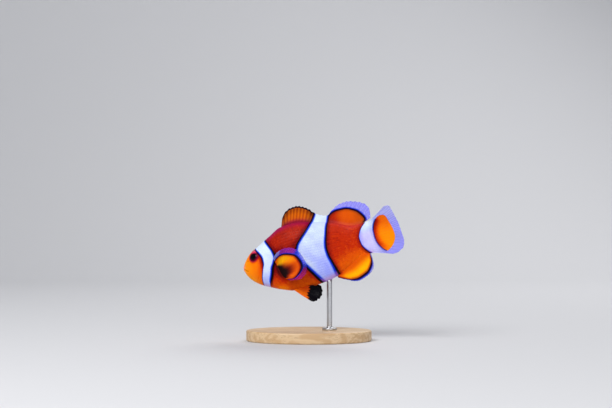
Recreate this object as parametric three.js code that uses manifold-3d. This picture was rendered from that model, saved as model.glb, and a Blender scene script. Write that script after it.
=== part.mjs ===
// A clownfish (Amphiprion ocellaris) swimming, as a still, life-size model held on a plain display stand.
// Millimetres, +Z up. The head points to -X and the fish's left side faces -Y.
// The origin is the centre of the stand's underside.
//
// The fish is first modelled straight and level in its own frame: x runs from the snout to the tail,
// y from its left to its right, z up, and z = 0 passes through the mouth and the middle of the tail.
// Places on it are stated as shares of the standard length. Each finished solid is then bent along the
// swimming spine, and the whole fish is tipped nose down and set on the rod.
import * as THREE from "three";
import { mergeVertices } from "three/addons/utils/BufferGeometryUtils.js";
import Module from "manifold-3d";

const wasm = await Module();
wasm.setup();

// ---------------------------------------------------------------- driving dimensions
const standardLength = 62; // snout to the root of the tail fin
const noseDownDeg = 13.7; // tilt of the whole fish
const gap = 0.3; // clearance between neighbouring solids
const cut = gap / 2; // taken from each side of a thin cut

const eyeRadius = 2.6;
const eyeFlatness = 0.5; // depth of the eyeball as a share of its radius
const eyePlace = { station: 0.126, height: 0.067 };
const eyeInset = 0.72; // centre of the eyeball below the skin

const gillCoverInside = 3.6; // distance of a gill cover's inner face from the fish's middle plane
const gillCoverSpan = [-0.15, 0.09]; // its heights, in standard lengths
const finEdge = 0.55; // thickness of a fin at its rim
const finRoot = 1.5; // thickness of a fin where it leaves the body
const rayRelief = 0.12; // how far a fin ray stands out of its membrane

const ventStation = 0.63; // where the rod meets the belly, between pelvic and anal fins
const ventHeight = 28; // height of that point above the floor
const rodPlace = { x: 9.5, y: 0 }; // from the middle of the base
const rodRadius = 1.25;
const footRadius = 3.4; // flange at the foot of the rod
const footHeight = 1.1;
const baseLength = 58;
const baseWidth = 38;
const baseHeight = 5;
const baseBevel = 0.8;

const bodyStations = 28;
const bodyPoints = 24;

// ---------------------------------------------------------------- curves

// A smooth function through [place, value] knots. Its cubic pieces take slopes that keep it between the
// knots, and it goes on flat outside them.
function curve(knots) {
  const n = knots.length;
  const step = [];
  const rise = [];
  for (let i = 0; i < n - 1; i++) {
    step.push(knots[i + 1][0] - knots[i][0]);
    rise.push((knots[i + 1][1] - knots[i][1]) / step[i]);
  }
  const slope = knots.map((_, i) => {
    if (i === 0) return rise[0];
    if (i === n - 1) return rise[n - 2];
    if (rise[i - 1] * rise[i] <= 0) return 0;
    const a = 2 * step[i] + step[i - 1];
    const b = step[i] + 2 * step[i - 1];
    return (a + b) / (a / rise[i - 1] + b / rise[i]);
  });
  return (x) => {
    if (x <= knots[0][0]) return knots[0][1];
    if (x >= knots[n - 1][0]) return knots[n - 1][1];
    let i = 0;
    while (x > knots[i + 1][0]) i++;
    const t = (x - knots[i][0]) / step[i];
    const [y0, y1] = [knots[i][1], knots[i + 1][1]];
    const [m0, m1] = [slope[i] * step[i], slope[i + 1] * step[i]];
    return (
      y0 * (1 + 2 * t) * (1 - t) ** 2 +
      m0 * t * (1 - t) ** 2 +
      y1 * t ** 2 * (3 - 2 * t) +
      m1 * t ** 2 * (t - 1)
    );
  };
}

// The same over the square root of the station, which rounds the snout.
function profile(knots) {
  const overRoot = curve(knots.map(([station, value]) => [Math.sqrt(station), value]));
  return (station) => overRoot(Math.sqrt(Math.max(station, 0)));
}

// ---------------------------------------------------------------- shape of the body
// Knots are [station, size], both in standard lengths.

const mouthHeight = -0.01;
const back = profile([
  [0, mouthHeight],
  [0.02, 0.03],
  [0.062, 0.075],
  [0.1, 0.104],
  [0.15, 0.127],
  [0.26, 0.184],
  [0.37, 0.234],
  [0.46, 0.241],
  [0.6, 0.217],
  [0.75, 0.178],
  [0.92, 0.119],
  [1.05, 0.124],
]);
const belly = profile([
  [0, mouthHeight],
  [0.012, -0.056],
  [0.05, -0.111],
  [0.11, -0.157],
  [0.17, -0.187],
  [0.26, -0.226],
  [0.36, -0.253],
  [0.47, -0.257],
  [0.6, -0.244],
  [0.7, -0.222],
  [0.82, -0.171],
  [0.92, -0.127],
  [0.98, -0.113],
  [1.05, -0.112],
]);
const halfWidth = profile([
  [0, 0],
  [0.012, 0.03],
  [0.04, 0.054],
  [0.08, 0.075],
  [0.12, 0.09],
  [0.2, 0.106],
  [0.32, 0.114],
  [0.42, 0.113],
  [0.5, 0.107],
  [0.6, 0.094],
  [0.7, 0.076],
  [0.8, 0.057],
  [0.9, 0.041],
  [1.0, 0.027],
  [1.05, 0.008],
]);
const widestShare = 0.47; // height of the widest place, as a share of the depth above the belly
const flankFullness = 0.9; // 1 is a plain ellipse, less is fuller
const snoutStation = 0.0004;
const stalkEnd = 1.05;

// The body's height limits and width at a station, in millimetres, grown by an offset.
function section(station, offset = 0) {
  const top = back(station) * standardLength + offset;
  const bottom = belly(station) * standardLength - offset;
  const half = Math.max(halfWidth(station) * standardLength + offset, 0.05);
  return { top, bottom, half, middle: bottom + widestShare * (top - bottom) };
}

// A point of the skin: the angle starts on the left flank and goes up over the back.
function skinPoint(station, angle, offset = 0) {
  const { top, bottom, half, middle } = section(station, offset);
  const [c, s] = [Math.cos(angle), Math.sin(angle)];
  const y = -half * Math.sign(c) * Math.abs(c) ** flankFullness;
  const z = middle + (s > 0 ? top - middle : middle - bottom) * s;
  return new THREE.Vector3(station * standardLength, y, z);
}

// The angle on the left flank at a height given in standard lengths.
function flankAngle(station, height) {
  const { top, bottom, middle } = section(station);
  const z = height * standardLength - middle;
  return Math.asin(THREE.MathUtils.clamp(z > 0 ? z / (top - middle) : z / (middle - bottom), -1, 1));
}

// The body's half-width at a station and height, all in standard lengths.
function flank(station, height) {
  return -skinPoint(station, flankAngle(station, height)).y / standardLength;
}

// ---------------------------------------------------------------- edges of the white bands
// Each gives the station of the edge at a height, both in standard lengths, and parts two solids.

const edges = {
  headFront: curve([
    [-0.22, 0.126],
    [-0.151, 0.146],
    [-0.107, 0.158],
    [-0.043, 0.184],
    [0, 0.198],
    [0.035, 0.195],
    [0.079, 0.17],
    [0.117, 0.134],
    [0.15, 0.104],
  ]),
  headRear: curve([
    [-0.21, 0.18],
    [-0.157, 0.208],
    [-0.121, 0.231],
    [-0.085, 0.246],
    [-0.045, 0.26],
    [-0.015, 0.279],
    [0.03, 0.298],
    [0.073, 0.292],
    [0.115, 0.269],
    [0.157, 0.235],
    [0.2, 0.19],
  ]),
  trunkFront: curve([
    [-0.27, 0.6],
    [-0.225, 0.576],
    [-0.167, 0.545],
    [-0.11, 0.512],
    [-0.06, 0.484],
    [-0.02, 0.467],
    [0.025, 0.461],
    [0.07, 0.476],
    [0.11, 0.506],
    [0.16, 0.553],
    [0.21, 0.597],
    [0.265, 0.635],
    [0.36, 0.68],
  ]),
  trunkRear: curve([
    [-0.3, 0.745],
    [-0.226, 0.716],
    [-0.157, 0.705],
    [-0.1, 0.692],
    [-0.045, 0.682],
    [0, 0.679],
    [0.05, 0.685],
    [0.1, 0.697],
    [0.16, 0.71],
    [0.23, 0.735],
    [0.36, 0.79],
  ]),
  tailFront: curve([
    [-0.14, 1.02],
    [-0.102, 0.99],
    [-0.073, 0.967],
    [-0.029, 0.946],
    [0.02, 0.942],
    [0.074, 0.962],
    [0.127, 1.008],
  ]),
};
const snoutPlane = () => -0.05;
const stalkPlane = () => 1.2;

// ---------------------------------------------------------------- solids

function toSolid(geometry) {
  const bare = geometry.clone();
  bare.deleteAttribute("normal");
  bare.deleteAttribute("uv");
  const merged = mergeVertices(bare, 1e-4);
  return new wasm.Manifold(
    new wasm.Mesh({
      numProp: 3,
      vertProperties: new Float32Array(merged.attributes.position.array),
      triVerts: new Uint32Array(merged.index.array),
    }),
  );
}

function toGeometry(solid) {
  const mesh = solid.getMesh();
  return new THREE.BufferGeometry()
    .setAttribute("position", new THREE.BufferAttribute(new Float32Array(mesh.vertProperties), 3))
    .setIndex(new THREE.BufferAttribute(new Uint32Array(mesh.triVerts), 1));
}

function fromPoints(points, index) {
  return new THREE.BufferGeometry()
    .setAttribute("position", new THREE.Float32BufferAttribute(points.flatMap((p) => p.toArray()), 3))
    .setIndex(index);
}

// A closed skin through rings of points, each end filled by a fan from its middle.
function loft(rings) {
  const count = rings[0].length;
  const points = rings.flat();
  const index = [];
  const at = (ring, k) => ring * count + (k % count);
  for (let r = 0; r < rings.length - 1; r++)
    for (let k = 0; k < count; k++) {
      index.push(at(r, k), at(r + 1, k), at(r + 1, k + 1));
      index.push(at(r, k), at(r + 1, k + 1), at(r, k + 1));
    }
  for (const ring of [0, rings.length - 1]) {
    const middle = new THREE.Vector3();
    rings[ring].forEach((p) => middle.addScaledVector(p, 1 / count));
    points.push(middle);
    for (let k = 0; k < count; k++) {
      const pair = ring === 0 ? [at(ring, k), at(ring, k + 1)] : [at(ring, k + 1), at(ring, k)];
      index.push(points.length - 1, ...pair);
    }
  }
  return fromPoints(points, index);
}

// The whole body, grown or shrunk by an offset. Its stations are closer together near the snout.
function bodySolid(offset = 0) {
  const rings = [];
  for (let i = 0; i <= bodyStations; i++) {
    const t = i / bodyStations;
    const station = snoutStation + (stalkEnd - snoutStation) * (0.45 * t * t + 0.55 * t ** 1.25);
    rings.push(
      Array.from({ length: bodyPoints }, (_, k) =>
        skinPoint(station, (2 * Math.PI * k) / bodyPoints, offset),
      ),
    );
  }
  if (offset !== 0) {
    rings[0].forEach((p) => (p.x -= offset));
    rings[bodyStations].forEach((p) => (p.x += offset));
  }
  return toSolid(loft(rings));
}

// A plate that follows a curved middle surface over u and v from 0 to 1, closed all round.
function slab(uSteps, vSteps, middle, thickness) {
  const points = [];
  const index = [];
  const small = 1e-3;
  const width = vSteps + 1;
  const layer = (uSteps + 1) * width;
  const at = (side, i, j) => side * layer + i * width + j;
  for (const side of [1, -1])
    for (let i = 0; i <= uSteps; i++)
      for (let j = 0; j <= vSteps; j++) {
        const [u, v] = [i / uSteps, j / vSteps];
        const alongU = middle(u + small, v).sub(middle(u - small, v));
        const alongV = middle(u, v + small).sub(middle(u, v - small));
        const normal = alongU.cross(alongV).normalize();
        points.push(middle(u, v).addScaledVector(normal, (side * thickness(u, v)) / 2));
      }
  for (let i = 0; i < uSteps; i++)
    for (let j = 0; j < vSteps; j++) {
      index.push(at(0, i, j), at(0, i + 1, j), at(0, i + 1, j + 1));
      index.push(at(0, i, j), at(0, i + 1, j + 1), at(0, i, j + 1));
      index.push(at(1, i, j), at(1, i + 1, j + 1), at(1, i + 1, j));
      index.push(at(1, i, j), at(1, i, j + 1), at(1, i + 1, j + 1));
    }
  const rim = [];
  for (let i = 0; i < uSteps; i++) rim.push([i, 0]);
  for (let j = 0; j < vSteps; j++) rim.push([uSteps, j]);
  for (let i = uSteps; i > 0; i--) rim.push([i, vSteps]);
  for (let j = vSteps; j > 0; j--) rim.push([0, j]);
  rim.forEach(([i, j], k) => {
    const [m, n] = rim[(k + 1) % rim.length];
    index.push(at(1, i, j), at(1, m, n), at(0, m, n));
    index.push(at(1, i, j), at(0, m, n), at(0, i, j));
  });
  return toSolid(fromPoints(points, index));
}

// An upright wall across the fish with the given side outline, [station, height] pairs in standard lengths.
function prism(outline) {
  const reach = 2 * standardLength;
  const corners = outline.map(([x, z]) => new THREE.Vector2(x, z).multiplyScalar(standardLength));
  const shape = new THREE.Shape(corners);
  const geometry = new THREE.ExtrudeGeometry(shape, { depth: reach, bevelEnabled: false });
  return toSolid(geometry.rotateX(Math.PI / 2).translate(0, reach / 2, 0));
}

// All that lies between two edges and two heights, each edge drawn in by an inset in millimetres.
function between(front, rear, inset = cut, lowest = -0.3, highest = 0.38, steps = 16) {
  const outline = [];
  const share = inset / standardLength;
  const height = (k) => lowest + ((highest - lowest) * k) / steps;
  for (let k = 0; k <= steps; k++) outline.push([rear(height(k)) - share, height(k)]);
  for (let k = steps; k >= 0; k--) outline.push([front(height(k)) + share, height(k)]);
  return prism(outline);
}

// ---------------------------------------------------------------- head

// The eyeball, flattened across, looks out of the skin. Growing it gives the socket.
function eyeSolid(side, growth = 0) {
  const { station, height } = eyePlace;
  const angle = flankAngle(station, height);
  const small = 0.01;
  const alongBody = skinPoint(station + small, angle).sub(skinPoint(station - small, angle));
  const roundBody = skinPoint(station, angle + small).sub(skinPoint(station, angle - small));
  const outward = alongBody.cross(roundBody).normalize();
  const centre = skinPoint(station, angle).addScaledVector(outward, -eyeInset);
  if (side > 0) {
    centre.y *= -1;
    outward.y *= -1;
  }
  const geometry = new THREE.SphereGeometry(1, 14, 9);
  geometry.rotateX(Math.PI / 2);
  geometry.scale(eyeRadius + growth, eyeRadius + growth, eyeRadius * eyeFlatness + growth);
  const turn = new THREE.Quaternion().setFromUnitVectors(new THREE.Vector3(0, 0, 1), outward);
  return toSolid(geometry.applyQuaternion(turn).translate(centre.x, centre.y, centre.z));
}

// The lower jaw in side view: the mouth's line, the corner of the mouth, and down to the chin.
function jawPrism(inset = 0) {
  const share = inset / standardLength;
  return prism([
    [-0.05, 0.004 - share],
    [0.012, -0.013 - share],
    [0.052 - share, -0.036 - share],
    [0.064 - share, -0.066],
    [0.072 - share, -0.11],
    [0.073 - share, -0.2],
    [-0.05, -0.2],
  ]);
}

// ---------------------------------------------------------------- fins
// A fin is a fan of rays from a root line, sunk in the body, to an outline. Both are given over v from 0,
// its first ray, to 1, its last; u runs from 0 at the root to 1 at the rim.

// Two steps over v for each space between rays give a ridge on every ray.
function ribbed(rays) {
  return (u, v) => {
    const ridge = Math.cos(Math.PI * rays * v) ** 2;
    return finEdge + (finRoot - finEdge) * (1 - u) ** 2 + rayRelief * ridge * (1 - u * u);
  };
}

// A line of [station, height] over v, from knots of [v, station, height].
function line(knots) {
  const station = curve(knots.map(([v, x]) => [v, x]));
  const height = curve(knots.map(([v, , z]) => [v, z]));
  return (v) => [station(v), height(v)];
}

// A fin in the fish's middle plane. The sway bends its rim to one side.
function medianFin({ root, tip, rays, steps, sway = 0 }) {
  const rim = line(tip);
  const middle = (u, v) => {
    const [rootX, rootZ] = root(v);
    const [tipX, tipZ] = rim(v);
    return new THREE.Vector3(rootX + (tipX - rootX) * u, sway * u * u, rootZ + (tipZ - rootZ) * u)
      .multiplyScalar(standardLength);
  };
  return slab(steps, 2 * rays, middle, ribbed(rays));
}

const sunk = 0.03; // how deep a median fin's root lies in the body
const dorsalRoot = [0.36, 0.9];
const dorsalFin = medianFin({
  root: (v) => {
    const station = dorsalRoot[0] + (dorsalRoot[1] - dorsalRoot[0]) * v;
    return [station, back(station) - sunk];
  },
  tip: [
    [0, 0.37, 0.235],
    [0.03, 0.386, 0.281],
    [0.07, 0.418, 0.328],
    [0.13, 0.47, 0.355],
    [0.2, 0.516, 0.359],
    [0.27, 0.56, 0.345],
    [0.35, 0.606, 0.315],
    [0.41, 0.646, 0.272],
    [0.48, 0.69, 0.247],
    [0.54, 0.73, 0.236],
    [0.6, 0.776, 0.268],
    [0.68, 0.84, 0.298],
    [0.76, 0.9, 0.304],
    [0.83, 0.96, 0.291],
    [0.9, 1.02, 0.267],
    [0.95, 1.06, 0.23],
    [0.98, 1.068, 0.187],
    [1, 1.055, 0.142],
  ],
  rays: 25, // 11 spines and 14 soft rays
  steps: 3,
});

const analRoot = [0.7, 0.985];
const analFin = medianFin({
  root: (v) => {
    const station = analRoot[0] + (analRoot[1] - analRoot[0]) * v;
    return [station, belly(station) + sunk];
  },
  tip: [
    [0, 0.7, -0.235],
    [0.06, 0.733, -0.253],
    [0.15, 0.768, -0.27],
    [0.28, 0.812, -0.288],
    [0.4, 0.848, -0.293],
    [0.5, 0.876, -0.288],
    [0.62, 0.911, -0.275],
    [0.74, 0.945, -0.258],
    [0.84, 0.976, -0.234],
    [0.91, 0.993, -0.209],
    [0.96, 0.998, -0.175],
    [1, 0.994, -0.138],
  ],
  rays: 14, // 2 spines and 12 soft rays
  steps: 3,
});

const tailFin = medianFin({
  root: (v) => [1.0, -0.108 + 0.21 * v],
  tip: [
    [0, 1.195, -0.15],
    [0.04, 1.232, -0.147],
    [0.08, 1.262, -0.135],
    [0.14, 1.296, -0.117],
    [0.22, 1.314, -0.084],
    [0.32, 1.323, -0.048],
    [0.48, 1.32, 0],
    [0.62, 1.308, 0.056],
    [0.75, 1.291, 0.112],
    [0.86, 1.28, 0.162],
    [0.93, 1.27, 0.194],
    [0.97, 1.248, 0.208],
    [1, 1.215, 0.207],
  ],
  rays: 15,
  steps: 3,
  sway: -0.02,
});

// A paired fin stands out from the flank. Its rays run back and out at the sweep angle, and the cup
// bends its blade outwards. Its root is sunk below the skin.
function pairedFin({ side, sweepDeg, sink, cup, root, tip, rays, steps }) {
  const sweep = THREE.MathUtils.degToRad(sweepDeg);
  const [rootLine, rim] = [line(root), line(tip)];
  const middle = (u, v) => {
    const [rootX, rootZ] = rootLine(v);
    const [tipX, tipZ] = rim(v);
    const run = (tipX - rootX) * u;
    const out = flank(rootX, rootZ) - sink + run * Math.tan(sweep) + cup(u, v);
    return new THREE.Vector3(rootX + run, side * out, rootZ + (tipZ - rootZ) * u)
      .multiplyScalar(standardLength);
  };
  return slab(steps, 2 * rays, middle, ribbed(rays));
}

function pectoralFin(side) {
  return pairedFin({
    side,
    sweepDeg: 28,
    sink: 0.013,
    cup: (u, v) => 0.04 * u + 0.06 * u * (1 - v) ** 3,
    root: [
      [0, 0.302, -0.045],
      [0.5, 0.304, -0.094],
      [1, 0.326, -0.14],
    ],
    tip: [
      [0, 0.322, 0.02],
      [0.08, 0.338, 0.047],
      [0.2, 0.372, 0.069],
      [0.32, 0.413, 0.076],
      [0.43, 0.461, 0.066],
      [0.53, 0.499, 0.036],
      [0.62, 0.52, -0.012],
      [0.71, 0.53, -0.064],
      [0.8, 0.526, -0.107],
      [0.88, 0.503, -0.145],
      [0.95, 0.452, -0.172],
      [1, 0.385, -0.168],
    ],
    rays: 16,
    steps: 3,
  });
}

function pelvicFin(side) {
  return pairedFin({
    side,
    sweepDeg: 10,
    sink: 0.02,
    cup: (u, v) => 0.02 * u * (1 - v),
    root: [
      [0, 0.345, -0.236],
      [1, 0.392, -0.234],
    ],
    tip: [
      [0, 0.463, -0.349],
      [0.12, 0.483, -0.362],
      [0.28, 0.507, -0.363],
      [0.45, 0.532, -0.345],
      [0.6, 0.547, -0.32],
      [0.75, 0.553, -0.29],
      [0.88, 0.545, -0.262],
      [1, 0.51, -0.243],
    ],
    rays: 6, // a spine and 5 soft rays
    steps: 4,
  });
}

// ---------------------------------------------------------------- swimming pose

// Degrees that the spine points towards the fish's own left, over stations in standard lengths.
const heading = curve([
  [0, 20],
  [0.3, 17],
  [0.55, 9],
  [0.8, 14],
  [1.0, 30],
  [1.2, 40],
  [1.35, 42],
]);
const spineStep = 0.5;
const spine = [new THREE.Vector2(0, 0)];
for (let x = 0; x < 1.5 * standardLength; x += spineStep) {
  const turn = THREE.MathUtils.degToRad(heading((x + spineStep / 2) / standardLength));
  const last = spine[spine.length - 1];
  spine.push(new THREE.Vector2(last.x + spineStep * Math.cos(turn), last.y - spineStep * Math.sin(turn)));
}

// Where a point of the straight fish goes when the spine is bent.
function bendPoint(p) {
  const turn = THREE.MathUtils.degToRad(heading(p.x / standardLength));
  const i = THREE.MathUtils.clamp(Math.floor(p.x / spineStep), 0, spine.length - 2);
  const along = p.x / spineStep - i;
  const [a, b] = [spine[i], spine[i + 1]];
  return new THREE.Vector3(
    a.x + (b.x - a.x) * along + p.y * Math.sin(turn),
    a.y + (b.y - a.y) * along + p.y * Math.cos(turn),
    p.z,
  );
}

function bent(geometry) {
  const position = geometry.attributes.position;
  for (let i = 0; i < position.count; i++) {
    const p = bendPoint(new THREE.Vector3().fromBufferAttribute(position, i));
    position.setXYZ(i, p.x, p.y, p.z);
  }
  return geometry;
}

// ---------------------------------------------------------------- materials

const finish = {
  orange: new THREE.MeshStandardMaterial({ color: 0xe8650a, roughness: 0.4, metalness: 0 }),
  redOrange: new THREE.MeshStandardMaterial({ color: 0xc03a08, roughness: 0.4, metalness: 0 }),
  amber: new THREE.MeshStandardMaterial({ color: 0xf5960a, roughness: 0.4, metalness: 0 }),
  white: new THREE.MeshStandardMaterial({ color: 0xdfe4f5, roughness: 0.4, metalness: 0 }),
  black: new THREE.MeshStandardMaterial({ color: 0x0a0810, roughness: 0.25, metalness: 0 }),
  steel: new THREE.MeshStandardMaterial({ color: 0xb4b6ba, roughness: 0.3, metalness: 1 }),
  wood: new THREE.MeshStandardMaterial({ color: 0xc9ac84, roughness: 0.55, metalness: 0 }),
};

// ---------------------------------------------------------------- the fish, straight

const pieces = new Map(); // node name to [solid, material]
const whole = bodySolid();
const bodyWithGap = bodySolid(gap);

// The upright core of the head between the two gill covers, thinned by an inset.
function coreSlab(inset) {
  const reach = 2 * standardLength;
  return toSolid(new THREE.BoxGeometry(reach, 2 * (gillCoverInside - inset), reach));
}

function buildHead() {
  const eyes = { eye_left: -1, eye_right: 1 };
  let head = whole.intersect(between(snoutPlane, edges.headFront));
  pieces.set("lower_jaw", [head.intersect(jawPrism(gap)), finish.orange]);
  head = head.subtract(jawPrism());
  let band = whole.intersect(between(edges.headFront, edges.headRear));
  for (const [name, side] of Object.entries(eyes)) {
    pieces.set(name, [eyeSolid(side), finish.black]);
    head = head.subtract(eyeSolid(side, gap));
    band = band.subtract(eyeSolid(side, gap));
  }
  pieces.set("head", [head, finish.orange]);

  // Each gill cover is a plate let into the side of the band.
  const [coverLow, coverHigh] = gillCoverSpan;
  const share = gap / standardLength;
  const coverArea = between(edges.headFront, edges.headRear, cut + gap, coverLow, coverHigh);
  const recessArea = between(edges.headFront, () => 0.4, cut, coverLow - share, coverHigh + share);
  const covers = band.intersect(coverArea).subtract(coreSlab(0));
  for (const cover of covers.decompose()) {
    const { min, max } = cover.boundingBox();
    pieces.set(min[1] + max[1] < 0 ? "gill_cover_left" : "gill_cover_right", [cover, finish.white]);
  }
  pieces.set("head_band", [band.subtract(recessArea.subtract(coreSlab(gap))), finish.white]);
}

function buildTrunk() {
  const sections = {
    shoulder: [edges.headRear, edges.trunkFront, finish.redOrange],
    trunk_band: [edges.trunkFront, edges.trunkRear, finish.white],
    loin: [edges.trunkRear, edges.tailFront, finish.redOrange],
    tail_stalk: [edges.tailFront, stalkPlane, finish.white],
  };
  for (const [name, [front, rear, material]] of Object.entries(sections))
    pieces.set(name, [whole.intersect(between(front, rear)), material]);
}

function buildFins() {
  const dorsal = dorsalFin.subtract(bodyWithGap);
  const behind = () => 1.3;
  const sections = {
    dorsal_fin_front: [() => 0.2, edges.trunkFront, finish.orange],
    dorsal_fin_middle: [edges.trunkFront, edges.trunkRear, finish.white],
    dorsal_fin_rear: [edges.trunkRear, behind, finish.orange],
  };
  for (const [name, [front, rear, material]] of Object.entries(sections))
    pieces.set(name, [dorsal.intersect(between(front, rear)), material]);
  pieces.set("anal_fin", [analFin.subtract(bodyWithGap), finish.amber]);
  pieces.set("tail_fin", [tailFin.subtract(bodyWithGap), finish.amber]);
  for (const [name, side] of [["left", -1], ["right", 1]]) {
    pieces.set(`pectoral_fin_${name}`, [pectoralFin(side).subtract(bodyWithGap), finish.amber]);
    pieces.set(`pelvic_fin_${name}`, [pelvicFin(side).subtract(bodyWithGap), finish.black]);
  }
}

// ---------------------------------------------------------------- pose and stand

const model = new THREE.Group();
model.name = "clownfish_on_stand";

function addMesh(parent, name, geometry, material) {
  geometry.computeVertexNormals();
  const mesh = new THREE.Mesh(geometry, material);
  mesh.name = name;
  parent.add(mesh);
  return mesh;
}

// The fish is tipped nose down about its snout and moved so that its vent sits on the rod.
function buildFish() {
  buildHead();
  buildTrunk();
  buildFins();
  const fish = new THREE.Group();
  fish.rotation.y = -THREE.MathUtils.degToRad(noseDownDeg);
  const vent = bendPoint(
    new THREE.Vector3(ventStation * standardLength, 0, belly(ventStation) * standardLength),
  ).applyEuler(fish.rotation);
  fish.position.set(rodPlace.x, rodPlace.y, ventHeight).sub(vent);
  fish.updateMatrix();
  for (const [name, [solid, material]] of pieces) addMesh(fish, name, bent(toGeometry(solid)), material);
  model.add(fish);
  return fish;
}

function buildStand(fish) {
  const oval = new THREE.Shape();
  oval.absellipse(0, 0, baseLength / 2 - baseBevel, baseWidth / 2 - baseBevel, 0, 2 * Math.PI);
  const plate = new THREE.ExtrudeGeometry(oval, {
    depth: baseHeight - 2 * baseBevel,
    bevelThickness: baseBevel,
    bevelSize: baseBevel,
    bevelSegments: 2,
    curveSegments: 18,
  });
  addMesh(model, "stand_base", plate.translate(0, 0, baseBevel), finish.wood);

  // A turned rod with a flange at its foot. Its head is cut to the belly that rests on it.
  const rise = ventHeight + 2 - baseHeight;
  const bevel = footHeight / 4;
  const turned = new THREE.LatheGeometry(
    [
      new THREE.Vector2(0, 0),
      new THREE.Vector2(footRadius, 0),
      new THREE.Vector2(footRadius, footHeight - bevel),
      new THREE.Vector2(footRadius - bevel, footHeight),
      new THREE.Vector2(rodRadius, footHeight),
      new THREE.Vector2(rodRadius, rise),
      new THREE.Vector2(0, rise),
    ],
    18,
  );
  turned.rotateX(Math.PI / 2).translate(rodPlace.x, rodPlace.y, baseHeight);
  const belly = toSolid(bent(toGeometry(bodyWithGap)).applyMatrix4(fish.matrix));
  addMesh(model, "stand_rod", toGeometry(toSolid(turned).subtract(belly)), finish.steel);
}

buildStand(buildFish());

export default model;
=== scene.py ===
"""A clownfish at life size, swimming nose down over its display stand.

The fish is shaped straight and level first. A place on it is (s, y, h): s runs from the snout to the
tail, y from the fish's left to its right, and h upwards, all as shares of the standard length. One map
then bends the spine, tips the nose down and sets the vent on the stand's rod. Names that end in _mm are
in millimetres, and everything that reaches Blender is in metres. Every shape is worked out in numpy as
whole arrays.
"""
import math

import bpy
import numpy as np
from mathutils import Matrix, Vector


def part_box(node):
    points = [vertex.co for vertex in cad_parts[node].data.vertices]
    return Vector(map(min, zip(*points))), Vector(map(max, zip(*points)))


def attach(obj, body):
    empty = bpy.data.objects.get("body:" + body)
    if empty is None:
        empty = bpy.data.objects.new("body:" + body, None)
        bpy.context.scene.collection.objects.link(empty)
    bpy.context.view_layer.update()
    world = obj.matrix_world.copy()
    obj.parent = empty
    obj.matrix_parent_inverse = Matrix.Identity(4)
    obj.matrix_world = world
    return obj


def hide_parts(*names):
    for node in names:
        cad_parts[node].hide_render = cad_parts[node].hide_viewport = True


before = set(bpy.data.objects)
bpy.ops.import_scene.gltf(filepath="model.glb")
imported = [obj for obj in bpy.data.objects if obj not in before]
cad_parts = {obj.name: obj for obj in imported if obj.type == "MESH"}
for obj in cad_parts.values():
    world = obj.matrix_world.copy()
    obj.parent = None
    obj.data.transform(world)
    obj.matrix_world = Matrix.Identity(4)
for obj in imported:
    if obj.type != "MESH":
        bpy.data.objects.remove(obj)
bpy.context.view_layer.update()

# ---------------------------------------- sizes

MM = 0.001
STANDARD_LENGTH = 62 * MM
LENGTH_MM = STANDARD_LENGTH / MM
NOSE_DOWN = math.radians(13.7)
VENT_STATION = 0.63
VENT_HEIGHT = 28 * MM
MOUTH_HEIGHT = -0.01
STALK_END = 1.05
WIDEST_SHARE = 0.47  # height of the widest place, as a share of the depth
FLANK_FULLNESS = 0.9  # 1 is a plain ellipse, less is fuller
EYE_STATION, EYE_HEIGHT = 0.126, 0.067
EYE_RADIUS_MM, EYE_FLATNESS, EYE_INSET_MM = 2.6, 0.5, 0.72
SIDES = ("left", -1), ("right", 1)
MIRROR = np.array([1, -1, 1])  # a place on the left to its twin on the right

# ---------------------------------------- curves


def curve(knots):
    """A smooth function through (place, value) knots.

    Between two knots it is the cubic with given end slopes. An inner slope is the weighted harmonic mean
    of the rises on both sides, or zero where they differ in sign, and the function is flat beyond its
    ends."""
    x, y = np.array(knots, float).T
    step = np.diff(x)
    rise = np.diff(y) / step
    before, after = 2 * step[1:] + step[:-1], step[1:] + 2 * step[:-1]
    same_way = rise[:-1] * rise[1:] > 0
    safe = np.where(same_way, rise[:-1], 1), np.where(same_way, rise[1:], 1)
    inner = np.where(same_way, (before + after) / (before / safe[0] + after / safe[1]), 0)
    slope = np.concatenate([rise[:1], inner, rise[-1:]])

    def at(place):
        place = np.clip(place, x[0], x[-1])
        i = np.clip(np.searchsorted(x, place, side="right") - 1, 0, len(x) - 2)
        t = (place - x[i]) / step[i]
        rest = 1 - t
        ends = y[i] * (1 + 2 * t) * rest**2 + y[i + 1] * t**2 * (3 - 2 * t)
        return ends + step[i] * t * rest * (slope[i] * rest - slope[i + 1] * t)

    return at


def profile(knots):
    """The same, but smooth over the square root of the station, which rounds the snout."""
    over_root = curve([(math.sqrt(station), value) for station, value in knots])
    return lambda station: over_root(np.sqrt(np.maximum(station, 0)))


def smooth(x, low, high):
    """0 below low, 1 above high, and 3t^2 - 2t^3 between them."""
    t = np.clip((x - low) / (high - low), 0, 1)
    return t * t * (3 - 2 * t)


def fade(x, low, high):
    """1 below low and 0 above high: one minus smooth."""
    return 1 - smooth(x, low, high)


def bell(x, centre, width):
    """1 at the centre, falling as e to the minus square of the distance in widths."""
    return np.exp(-(((x - centre) / width) ** 2))


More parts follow.
